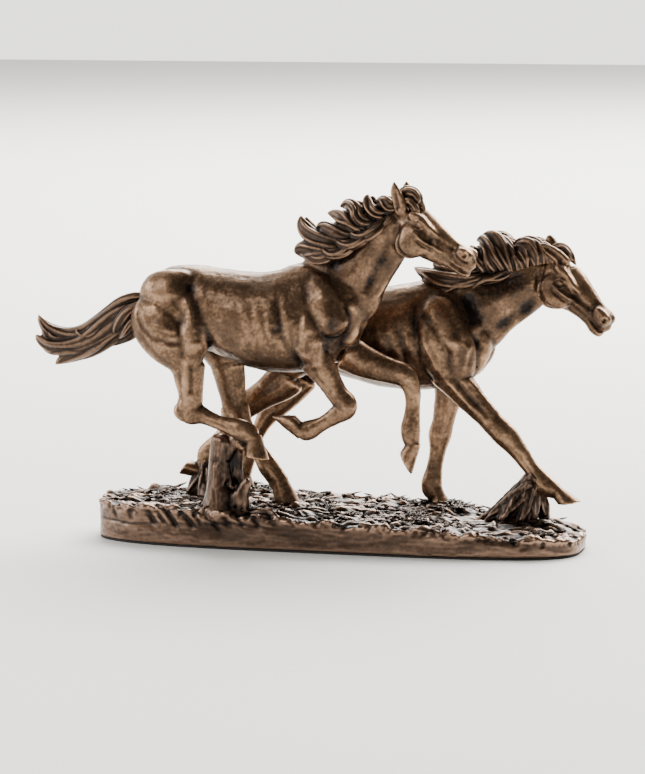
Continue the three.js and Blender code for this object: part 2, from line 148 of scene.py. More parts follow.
@dataclass(frozen=True)
class Hoof:
    """A hoof: a round coronet, and a sole that runs from the heel to the toe."""

    coronet: Point
    toe: Point
    heel: Point
    top: float = 5.6
    width: float = 7.2
    root: float = 3.0

    @property
    def sole(self) -> Point:
        """Return the middle of the sole."""
        return tuple((a + b) / 2 for a, b in zip(self.toe, self.heel))

    def add_to(self, bm: bmesh.types.BMesh) -> None:
        """Add the hoof to a mesh: a cone whose sole is slanted from toe to heel."""
        coronet, sole, toe = np.array(self.coronet), np.array(self.sole), np.array(self.toe)
        down = (sole - coronet) / np.linalg.norm(sole - coronet)
        front = np.cross(ACROSS, down)
        front *= np.sign(front @ (toe - sole)) * self.top
        cone = bmesh.ops.create_cone(
            bm, cap_ends=True, cap_tris=False, segments=32, radius1=1.0, radius2=1.0, depth=2.0
        )["verts"]
        for vert in cone:
            ahead, aside, high = vert.co
            low = sole + (toe - sole) * ahead + ACROSS * aside * self.width * (1.0 - 0.12 * ahead)
            top = coronet - down * self.root + (front * ahead + ACROSS * aside * self.top * 0.92) * 0.84
            vert.co = Vector((low if high < 0 else top) * MM)


class Cut(Enum):
    """How a stroke of the tool changes the surface."""

    RIDGE = 1
    GROOVE = -1
    STEP = 0


@dataclass(frozen=True)
class Stroke:
    """A stroke along a line of x, z pairs on one flank, or on both when side is 0."""

    line: tuple[Flat, ...]
    width: float
    height: float
    cut: Cut = Cut.GROOVE
    side: int = 0


@dataclass(frozen=True)
class Dab:
    """A round touch at x, z on one flank, or on both when side is 0; negative heights press in, and as painted shade
    they darken the patina.
    """

    place: Flat
    radius: float
    height: float
    side: int = 0


class Clay:
    """A body of fused clay that smoothing and strokes shape before it is cut into pieces."""

    def __init__(self, bm: bmesh.types.BMesh, voxel: float, midline: float = 0.0) -> None:
        """Fuse every closed shape of a mesh into one skin.

        Args:
            bm: the shapes to fuse; it is freed.
            voxel: the grain of the fused skin.
            midline: the y that separates the two flanks.
        """
        bmesh.ops.recalc_face_normals(bm, faces=bm.faces)
        rough = bpy.data.meshes.new("rough")
        bm.to_mesh(rough)
        bm.free()
        block = bpy.data.objects.new("rough", rough)
        bpy.context.scene.collection.objects.link(block)
        fuse = block.modifiers.new("fuse", "REMESH")
        fuse.mode = "VOXEL"
        fuse.voxel_size = voxel * MM
        graph = bpy.context.evaluated_depsgraph_get()
        self.mesh = bpy.data.meshes.new_from_object(block.evaluated_get(graph))
        bpy.data.objects.remove(block)
        bpy.data.meshes.remove(rough)
        self.midline = midline
        self.read()

    def read(self) -> None:
        """Load the mesh's places and edges into arrays."""
        count = len(self.mesh.vertices)
        flat = np.empty(count * 3)
        self.mesh.vertices.foreach_get("co", flat)
        self.co = flat.reshape(-1, 3) / MM
        pairs = np.empty(len(self.mesh.edges) * 2, dtype=np.int64)
        self.mesh.edges.foreach_get("vertices", pairs)
        self.edges = pairs.reshape(-1, 2)
        self.degree = np.maximum(np.bincount(pairs, minlength=count), 1)[:, None]

    def write(self) -> None:
        """Store the arrays' places in the mesh."""
        self.mesh.vertices.foreach_set("co", (self.co * MM).ravel())
        self.mesh.update()

    def normals(self) -> np.ndarray:
        """Return the surface's outward direction at every point."""
        self.write()
        flat = np.empty(len(self.co) * 3)
        self.mesh.vertex_normals.foreach_get("vector", flat)
        return flat.reshape(-1, 3)

    def spread(self, values: np.ndarray) -> np.ndarray:
        """Return the mean of the neighbours' values at every point."""
        total = np.zeros_like(values)
        first, second = self.edges[:, 0], self.edges[:, 1]
        for axis in range(values.shape[1]):
            column = values[:, axis]
            total[:, axis] = np.bincount(first, column[second], len(values))
            total[:, axis] += np.bincount(second, column[first], len(values))
        return total / self.degree

    def smooth(self, rounds: int, weight: np.ndarray | float = 1.0) -> None:
        """Smooth the skin without shrinking it.

        Args:
            rounds: how many passes.
            weight: a share from 0 to 1 for every point, or one for all.
        """
        weight = np.broadcast_to(weight, len(self.co))[:, None]
        for _ in range(rounds):
            for strength in (0.6, -0.61):
                self.co += strength * weight * (self.spread(self.co) - self.co)

    def refine(self, inside: np.ndarray) -> None:
        """Split the faces whose corners all lie inside, for finer modelling there.

        Args:
            inside: True for each point that is in the finer region.
        """
        self.write()
        bm = bmesh.new()
        bm.from_mesh(self.mesh)
        bm.verts.ensure_lookup_table()
        edges = [e for e in bm.edges if inside[e.verts[0].index] and inside[e.verts[1].index]]
        bmesh.ops.subdivide_edges(bm, edges=edges, cuts=1, use_grid_fill=True)
        bmesh.ops.triangulate(bm, faces=[f for f in bm.faces if len(f.verts) > 4])
        bm.to_mesh(self.mesh)
        bm.free()
        self.read()

    def flank_weight(self, side: int, normals: np.ndarray) -> np.ndarray:
        """Return how much each point faces the named flank, from 0 to 1."""
        facing = normals[:, 1] * (np.sign(self.co[:, 1] - self.midline) if side == 0 else side)
        return np.clip(facing * 2.0 - 0.1, 0.0, 1.0)

    def push(self, amount: np.ndarray, normals: np.ndarray) -> None:
        """Move every point along its outward direction."""
        self.co += normals * amount[:, None]

    def carve(self, strokes: tuple[Stroke, ...], gain: float = 1.0) -> None:
        """Run the tool along each stroke.

        Args:
            strokes: the lines to carve or raise.
            gain: how hard the tool is pressed.
        """
        normals = self.normals()
        for stroke in strokes:
            line = np.array(stroke.line, dtype=float)
            flat = self.co[:, [0, 2]]
            best = np.full(len(flat), 1e9)
            signed = np.zeros(len(flat))
            share = np.zeros(len(flat))
            for index in range(len(line) - 1):
                start, run = line[index], line[index + 1] - line[index]
                t = np.clip(((flat - start) @ run) / (run @ run), 0.0, 1.0)
                gap = flat - start - t[:, None] * run
                far = np.linalg.norm(gap, axis=1)
                closer = far < best
                best = np.where(closer, far, best)
                hand = np.sign(run[0] * gap[:, 1] - run[1] * gap[:, 0])
                signed = np.where(closer, far * hand, signed)
                share = np.where(closer, (index + t) / (len(line) - 1), share)
            fade = np.clip(np.minimum(share, 1.0 - share) / 0.22 + 0.15, 0.0, 1.0)
            reach = best / (stroke.width * 1.15)
            profile = np.exp(-(reach**2)) * stroke.cut.value
            if stroke.cut is Cut.STEP:
                profile = 1.7 * (signed / stroke.width) * np.exp(-(reach**2))
            amount = gain * stroke.height * profile * fade
            self.push(amount * self.flank_weight(stroke.side, normals), normals)

    def touch(self, dabs: tuple[Dab, ...]) -> None:
        """Press or raise the skin at round places.

        Args:
            dabs: the places to touch.
        """
        normals = self.normals()
        for dab in dabs:
            far = np.linalg.norm(self.co[:, [0, 2]] - np.array(dab.place), axis=1) / dab.radius
            amount = dab.height * np.exp(-(far**2))
            self.push(amount * self.flank_weight(dab.side, normals), normals)

    def ring(self, centre: Point, axis: Point, reach: float, width: float, height: float) -> None:
        """Raise or sink a band round a limb.

        Args:
            centre: a point on the limb's axis.
            axis: the direction of the limb.
            reach: how far from the centre the band may lie.
            width: half the band's width.
            height: how far it stands out, or in when negative.
        """
        normals = self.normals()
        gap = self.co - np.array(centre)
        direction = np.array(axis) / np.linalg.norm(axis)
        near = np.clip(1.5 * (1.0 - np.linalg.norm(gap, axis=1) / reach), 0.0, 1.0)
        self.push(height * np.exp(-((gap @ direction / width) ** 2)) * near, normals)

    def grain(self, size: float, height: float, stretch: Point = (1.0, 1.0, 1.0), seed: float = 0.0,
              weight: np.ndarray | float = 1.0) -> None:
        """Roughen the skin with a soft random relief.

        Args:
            size: the size of the lumps.
            height: how far they stand out.
            stretch: how much longer the lumps are along each axis.
            seed: moves the pattern.
            weight: a share from 0 to 1 for every point, or one for all.
        """
        normals = self.normals()
        scaled = self.co / (size * np.array(stretch)) + seed
        lumps = np.array([noise.noise(Vector(place)) for place in scaled])
        self.push(height * lumps * weight, normals)

    def paint_shade_and_highlights(self, painted_shade_and_highlights: tuple[Dab, ...]) -> np.ndarray:
        """Return the painted shade and painted highlights: how much darker or lighter the patina is made at round
        places.
        """
        amount = np.zeros(len(self.co))
        for painted_spot in painted_shade_and_highlights:
            far = np.linalg.norm(self.co[:, [0, 2]] - np.array(painted_spot.place), axis=1) / painted_spot.radius
            amount += painted_spot.height * np.exp(-(far**2))
        return amount

    def relief(self, rounds: int) -> np.ndarray:
        """Return how far each point stands out of its own smoothed surroundings."""
        normals = self.normals()
        soft = self.co.copy()
        for _ in range(rounds):
            soft += 0.9 * (self.spread(soft) - soft)
        return np.einsum("ij,ij->i", self.co - soft, normals)

    def store_patina(self, fine: float, broad: float, bias: np.ndarray | float = 0.0) -> None:
        """Store how rubbed each point is: 0 in recesses, about 0.5 on plain skin, 1 on ridges.

        Args:
            fine: the relief, in millimetres, that counts as a full small ridge.
            broad: the same for large forms.
            bias: added to the result, to make a region lighter or darker; the horses and the stump get their painted
                shade and painted highlights through it.
        """
        small = np.tanh(self.relief(4) / fine)
        large = np.tanh(self.relief(40) / broad)
        values = np.clip(0.5 + 0.28 * small + 0.36 * large + bias, 0.0, 1.0)
        self.mesh.attributes.new(PATINA_AND_PAINTED_LIGHT, "FLOAT", "POINT")
        self.mesh.attributes[PATINA_AND_PAINTED_LIGHT].data.foreach_set("value", values)

    def piece(self, name: str) -> bpy.types.Object:
        """Turn the whole clay into one object."""
        self.write()
        self.mesh.name = name
        self.mesh.shade_smooth()
        made = bpy.data.objects.new(name, self.mesh)
        bpy.context.scene.collection.objects.link(made)
        return made

    def pieces(self, regions: np.ndarray, names: list[str]) -> dict[str, bpy.types.Object]:
        """Saw the clay into closed pieces that keep the shading of the whole.

        Args:
            regions: the number of the piece that each face belongs to.
            names: the pieces' names, in the order of their numbers.

        Returns:
            The objects by name.
        """
        shading = self.normals()
        layer = self.mesh.attributes.new("shading", "FLOAT_VECTOR", "POINT")
        layer.data.foreach_set("vector", shading.ravel())
        made = {}
        for number, name in enumerate(names):
            bm = bmesh.new()
            bm.from_mesh(self.mesh)
            bm.faces.ensure_lookup_table()
            others = [face for face, region in zip(bm.faces, regions) if region != number]
            bmesh.ops.delete(bm, geom=others, context="FACES")
            bmesh.ops.holes_fill(bm, edges=[e for e in bm.edges if e.is_boundary], sides=0)
            mesh = bpy.data.meshes.new(name)
            bm.to_mesh(mesh)
            bm.free()
            kept = np.empty(len(mesh.vertices) * 3)
            mesh.attributes["shading"].data.foreach_get("vector", kept)
            mesh.attributes.remove(mesh.attributes["shading"])
            mesh.shade_smooth()
            mesh.normals_split_custom_set_from_vertices(kept.reshape(-1, 3))
            made[name] = bpy.data.objects.new(name, mesh)
            bpy.context.scene.collection.objects.link(made[name])
        return made


def fit(piece: bpy.types.Object, node: str, material: bpy.types.Material) -> None:
    """Dress a finished piece and let it stand for its casting.

    Args:
        piece: the finished object.
        node: the casting that it stands for.
        material: the finish.
    """
    piece.data.materials.clear()
    piece.data.materials.append(material)
    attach(piece, ROOT_BODY)
    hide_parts(node)
    log.info("%s: %d faces", piece.name, len(piece.data.polygons))


# ---- finishes ----


@dataclass(frozen=True)
class Bronze:
    """Bronze with a dark patina that is rubbed light on the high places."""

    name: str
    recess: Point
    body: Point
    rubbed: Point
    blotch: float = 0.56
    metallic: float = 0.95
    dull: float = 0.46
    bright: float = 0.28
    wax: float = 0.2
    wax_roughness: float = 0.2
    grain: float = 0.12

    def make(self) -> bpy.types.Material:
        """Build the node material.

        Returns:
            The material, driven by the patina attribute, which also carries the painted shade and painted highlights,
            and by mottling in the metal.
        """
        material = bpy.data.materials.new(self.name)
        material.use_nodes = True
        nodes, links = material.node_tree.nodes, material.node_tree.links
        shader = nodes["Principled BSDF"]
        shader.inputs["Metallic"].default_value = self.metallic
        shader.inputs["Coat Weight"].default_value = self.wax
        shader.inputs["Coat Roughness"].default_value = self.wax_roughness
        place = nodes.new("ShaderNodeTexCoord")
        # reads the rubbed patina together with the painted shade and painted highlights
        rub_and_painted_light = nodes.new("ShaderNodeAttribute")
        rub_and_painted_light.attribute_name = PATINA_AND_PAINTED_LIGHT
        shift = self.noise(nodes, links, place, 38.0, 10.0)
        speck = self.noise(nodes, links, place, 420.0, 4.0)
        mixed = nodes.new("ShaderNodeMath")
        mixed.operation = "MULTIPLY_ADD"
        mixed.inputs[1].default_value = self.blotch
        links.new(shift.outputs["Fac"], mixed.inputs[0])
        links.new(rub_and_painted_light.outputs["Fac"], mixed.inputs[2])
        fine = nodes.new("ShaderNodeMath")
        fine.operation = "MULTIPLY_ADD"
        fine.inputs[1].default_value = self.blotch * 0.55
        links.new(speck.outputs["Fac"], fine.inputs[0])
        links.new(mixed.outputs[0], fine.inputs[2])
        level = nodes.new("ShaderNodeMath")
        level.operation = "SUBTRACT"
        level.inputs[1].default_value = self.blotch * 0.775
        links.new(fine.outputs[0], level.inputs[0])
        ramp = nodes.new("ShaderNodeValToRGB")
        stops = ramp.color_ramp
        stops.elements[0].position = 0.2
        stops.elements[0].color = (*self.recess, 1.0)
        stops.elements[1].position = 0.86
        stops.elements[1].color = (*self.rubbed, 1.0)
        middle = stops.elements.new(0.52)
        middle.color = (*self.body, 1.0)
        links.new(level.outputs[0], ramp.inputs["Fac"])
        links.new(ramp.outputs["Color"], shader.inputs["Base Color"])
        gloss = nodes.new("ShaderNodeMapRange")
        gloss.inputs["From Min"].default_value = 0.2
        gloss.inputs["From Max"].default_value = 0.9
        gloss.inputs["To Min"].default_value = self.dull
        gloss.inputs["To Max"].default_value = self.bright
        links.new(level.outputs[0], gloss.inputs["Value"])
        links.new(gloss.outputs["Result"], shader.inputs["Roughness"])
        tooth = self.noise(nodes, links, place, 1500.0, 2.0)
        bump = nodes.new("ShaderNodeBump")
        bump.inputs["Strength"].default_value = self.grain
        bump.inputs["Distance"].default_value = 0.2 * MM
        links.new(tooth.outputs["Fac"], bump.inputs["Height"])
        links.new(bump.outputs["Normal"], shader.inputs["Normal"])
        return material

    @staticmethod
    def noise(nodes: bpy.types.Nodes, links: bpy.types.NodeLinks, place: bpy.types.Node, scale: float,
              detail: float) -> bpy.types.Node:
        """Add a noise texture that reads the piece's own coordinates."""
        texture = nodes.new("ShaderNodeTexNoise")
        texture.inputs["Scale"].default_value = scale
        texture.inputs["Detail"].default_value = detail
        links.new(place.outputs["Object"], texture.inputs["Vector"])
        return texture


@dataclass(frozen=True)
class Plain:
    """A finish of one colour with fine mottling: felt, board or plated steel."""

    name: str
    colour: Point
    shade: Point
    scale: float
    roughness: float
    metallic: float = 0.0

    def make(self) -> bpy.types.Material:
        """Build the node material."""
        material = bpy.data.materials.new(self.name)
        material.use_nodes = True
        nodes, links = material.node_tree.nodes, material.node_tree.links
        shader = nodes["Principled BSDF"]
        shader.inputs["Metallic"].default_value = self.metallic
        shader.inputs["Roughness"].default_value = self.roughness
        place = nodes.new("ShaderNodeTexCoord")
        texture = Bronze.noise(nodes, links, place, self.scale, 4.0)
        mix = nodes.new("ShaderNodeMix")
        mix.data_type = "RGBA"
        mix.inputs["A"].default_value = (*self.shade, 1.0)
        mix.inputs["B"].default_value = (*self.colour, 1.0)
        links.new(texture.outputs["Fac"], mix.inputs["Factor"])
        links.new(mix.outputs["Result"], shader.inputs["Base Color"])
        return material


HORSE_BRONZE = Bronze("horse_bronze", (0.010, 0.006, 0.0045), (0.112, 0.064, 0.036), (0.43, 0.256, 0.15), blotch=0.62)
HAIR_BRONZE = Bronze("hair_bronze", (0.008, 0.005, 0.0036), (0.038, 0.0218, 0.0135), (0.23, 0.137, 0.084), blotch=0.35)
GROUND_BRONZE = Bronze(
    "ground_bronze", (0.009, 0.006, 0.0045), (0.078, 0.046, 0.03), (0.28, 0.172, 0.116),
    blotch=0.5, dull=0.42, wax=0.25, wax_roughness=0.16,
)
FELT = Plain("felt", (0.02, 0.018, 0.017), (0.035, 0.031, 0.03), 900.0, 0.95)
BOARD = Plain("hardboard", (0.2, 0.12, 0.065), (0.14, 0.08, 0.045), 300.0, 0.8)
STEEL = Plain("zinc_steel", (0.62, 0.62, 0.62), (0.5, 0.5, 0.5), 500.0, 0.35, 1.0)


# ---- hair ----


@dataclass(frozen=True)
class Lock:
    """A lock of hair from its root to its tip, modelled as a bundle of strands."""

    path: tuple[Point, ...]
    depth: float
    width: float
    strands: int = 6
    spread: float = 0.72

    def stations(self, count: int = 12) -> list[Station]:
        """Return the lock's spine with a full middle and a pointed tip."""
        rows = np.array([(*place, 1.0, 1.0) for place in self.path], dtype=float)
        shares = np.linspace(0.0, 1.0, count)
        places = spline(rows, shares)[:, :3]
        full = (0.8 + 0.34 * np.sin(np.pi * shares)) * (1.0 - shares**4) ** 0.8 + 0.06
        return [(*place, size * self.depth * 1.28, size * self.width * 1.12) for place, size in zip(places, full)]

    def add_to(self, bm: bmesh.types.BMesh, rng: np.random.Generator) -> None:
        """Add the lock's core and its strands to a mesh.

        Args:
            bm: the mesh that receives the closed shapes.
            rng: the source of the strands' small differences.
        """
        core = self.stations()
        wrap(bm, [(x, y, z, d * 0.8, w * 0.8) for x, y, z, d, w in core], 14, 24, 0.08)
        shares = np.linspace(0.0, 1.0, len(core))
        rows, depth, side = framed(np.array(core), shares)
        for strand in range(self.strands):
            start = 2 * math.pi * (strand + rng.uniform(-0.25, 0.25)) / self.strands
            sway = rng.uniform(0.25, 0.6) * np.sin(shares * rng.uniform(4.0, 7.0) + rng.uniform(0, 6.3))
            turn = start + sway
            out = depth * (np.cos(turn) * rows[:, 3] * self.spread)[:, None]
            out += side * (np.sin(turn) * rows[:, 4] * self.spread)[:, None]
            size = np.minimum(rows[:, 3], rows[:, 4]) * rng.uniform(0.3, 0.46)
            size = np.maximum(size, 0.35)
            places = rows[:, :3] + out
            wrap(bm, [(*p, s, s) for p, s in zip(places, size)], 8, 24, 0.06)


# ---- horses ----


@dataclass(frozen=True)
class Limb:
    """One leg: its column of bone and tendon, its hoof, and where it is sawn from the body."""

    column: tuple[Station, ...]
    hoof: Hoof
    sawn_at: Point
    sawn_along: Point
    side: int
    extras: tuple[Mass, ...] = ()
    reach: float = 15.0

    def add_to(self, bm: bmesh.types.BMesh) -> None:
        """Add the leg's masses to a mesh."""
        foot = (*self.hoof.coronet, self.hoof.top * 0.96, self.hoof.top * 0.82)
        Mass((*self.column[:-1], foot), blunt=0.03, rings=56).add_to(bm)
        self.hoof.add_to(bm)
        for extra in self.extras:
            extra.add_to(bm)

    def holds(self, places: np.ndarray) -> np.ndarray:
        """Tell which places belong to the leg below its saw cut."""
        beyond = (places - np.array(self.sawn_at)) @ np.array(self.sawn_along) > 0
        nodes = np.vstack([np.array(self.column)[:, :3], np.array([self.hoof.sole])])
        track = spline(nodes, np.linspace(0, 1, 40))
        far = np.full(len(places), 1e9)
        for place in track:
            far = np.minimum(far, np.linalg.norm(places - place, axis=1))
        return beyond & (far < self.reach)


@dataclass(frozen=True)
class Horse:
    """A galloping horse: masses, strokes and hair in its own casting's places."""

    prefix: str
    midline: float
    torso: tuple[Mass, ...]
    head: tuple[Mass, ...]
    ears: tuple[Mass, ...]
    limbs: dict[str, Limb]
    neck_sawn_at: Point
    neck_sawn_along: Point
    head_centre: Point
    strokes: tuple[Stroke, ...]
    dabs: tuple[Dab, ...]
    face_strokes: tuple[Stroke, ...]
    face_dabs: tuple[Dab, ...]
    # painted shade and painted highlights: round places where the patina is made darker or lighter
    painted_shade_and_highlights: tuple[Dab, ...]
    mane: tuple[Lock, ...]
    forelock: tuple[Lock, ...]
    tail: tuple[Lock, ...]
    voxel: float = 0.72
    hair_voxel: float = 0.5
    head_reach: float = 46.0
    rounds: int = 170
    gain: float = 0.6

    def build(self, skin: bpy.types.Material, hair: bpy.types.Material) -> None:
        """Model the horse and dress its pieces.

        Args:
            skin: the finish of the body.
            hair: the finish of the mane, forelock and tail.
        """
        self.build_body(skin)
        for part, locks in (("mane", self.mane), ("forelock", self.forelock), ("tail", self.tail)):
            self.build_hair(part, locks, hair)

    def build_body(self, skin: bpy.types.Material) -> None:
        """Model the torso, head and legs as one clay and saw it into its castings."""
        bm = bmesh.new()
        for mass in self.torso + self.head + self.ears:
            mass.add_to(bm)
        for limb in self.limbs.values():
            limb.add_to(bm)
        clay = Clay(bm, self.voxel, self.midline)
        clay.smooth(self.rounds, self.softness(clay))
        clay.carve(self.strokes, self.gain)
        clay.touch(self.dabs)
        clay.smooth(8, self.softness(clay))
        clay.refine(np.linalg.norm(clay.co - np.array(self.head_centre), axis=1) < self.head_reach)
        clay.smooth(3)
        clay.carve(self.face_strokes)
        clay.touch(self.face_dabs)
        for limb in self.limbs.values():
            down = np.array(limb.hoof.sole) - np.array(limb.hoof.coronet)
            clay.ring(limb.hoof.coronet, tuple(down), 9.0, 0.8, -0.1)
        clay.smooth(1)
        clay.grain(12.0, 0.5, seed=self.midline)
        clay.grain(4.5, 0.16, seed=self.midline + 3)
        clay.grain(1.8, 0.1, seed=self.midline)
        # the patina takes the painted shade and painted highlights as its bias
        clay.store_patina(0.34, 1.7, clay.paint_shade_and_highlights(self.painted_shade_and_highlights))
        clay.write()
        names = ["torso", "head_and_neck", *self.limbs]
        for name, piece in clay.pieces(self.regions(clay), names).items():
            piece.name = f"{self.prefix}_{name}_bronze"
            fit(piece, f"{self.prefix}_{name}", skin)

    def softness(self, clay: Clay) -> np.ndarray:
        """Return how much of the smoothing each point takes: most on the trunk, less on legs."""
        low = min(station[2] for mass in self.torso for station in mass.spine)
        return np.clip((clay.co[:, 2] - low) / 20.0, 0.12, 1.0)

    def regions(self, clay: Clay) -> np.ndarray:
        """Return the number of the casting that each face belongs to."""
        centres = np.empty(len(clay.mesh.polygons) * 3)
        clay.mesh.polygons.foreach_get("center", centres)
        centres = centres.reshape(-1, 3) / MM
        regions = np.zeros(len(centres), dtype=int)
        beyond = (centres - np.array(self.neck_sawn_at)) @ np.array(self.neck_sawn_along) > 0
        regions[beyond & (centres[:, 2] > self.neck_sawn_at[2] - 40)] = 1
        for number, limb in enumerate(self.limbs.values()):
            regions[limb.holds(centres)] = 2 + number
        return regions

    def build_hair(self, part: str, locks: tuple[Lock, ...], hair: bpy.types.Material) -> None:
        """Model one mass of hair from its locks.

        Args:
            part: mane, forelock or tail.
            locks: the locks that it is made of.
            hair: its finish.
        """
        rng = np.random.default_rng(len(locks) * 7 + len(part))
        bm = bmesh.new()
        for lock in locks:
            lock.add_to(bm, rng)
        clay = Clay(bm, self.hair_voxel, self.midline)
        clay.smooth(2)
        clay.store_patina(0.3, 1.2)
        piece = clay.piece(f"{self.prefix}_{part}_bronze")
        fit(piece, f"{self.prefix}_{part}", hair)


def paired(midline: float, mass: Mass) -> tuple[Mass, Mass]:
    """Give a mass and its mirror image on the other flank."""
    mirrored = tuple((x, 2 * midline - y, z, d, w) for x, y, z, d, w in mass.spine)
    return mass, Mass(mirrored, mass.blunt, mass.sides, mass.rings)


def both_sides(locks: tuple[Lock, ...], midline: float, shift: float = 3.0) -> tuple[Lock, ...]:
    """Give locks and their slightly shifted mirror images beyond the crest."""
    far = []
    for lock in locks:
        path = tuple((x + shift, 2 * midline - y, z - 1.0) for x, y, z in lock.path)
        far.append(Lock(path, lock.depth, lock.width, lock.strands, lock.spread))
    return locks + tuple(far)


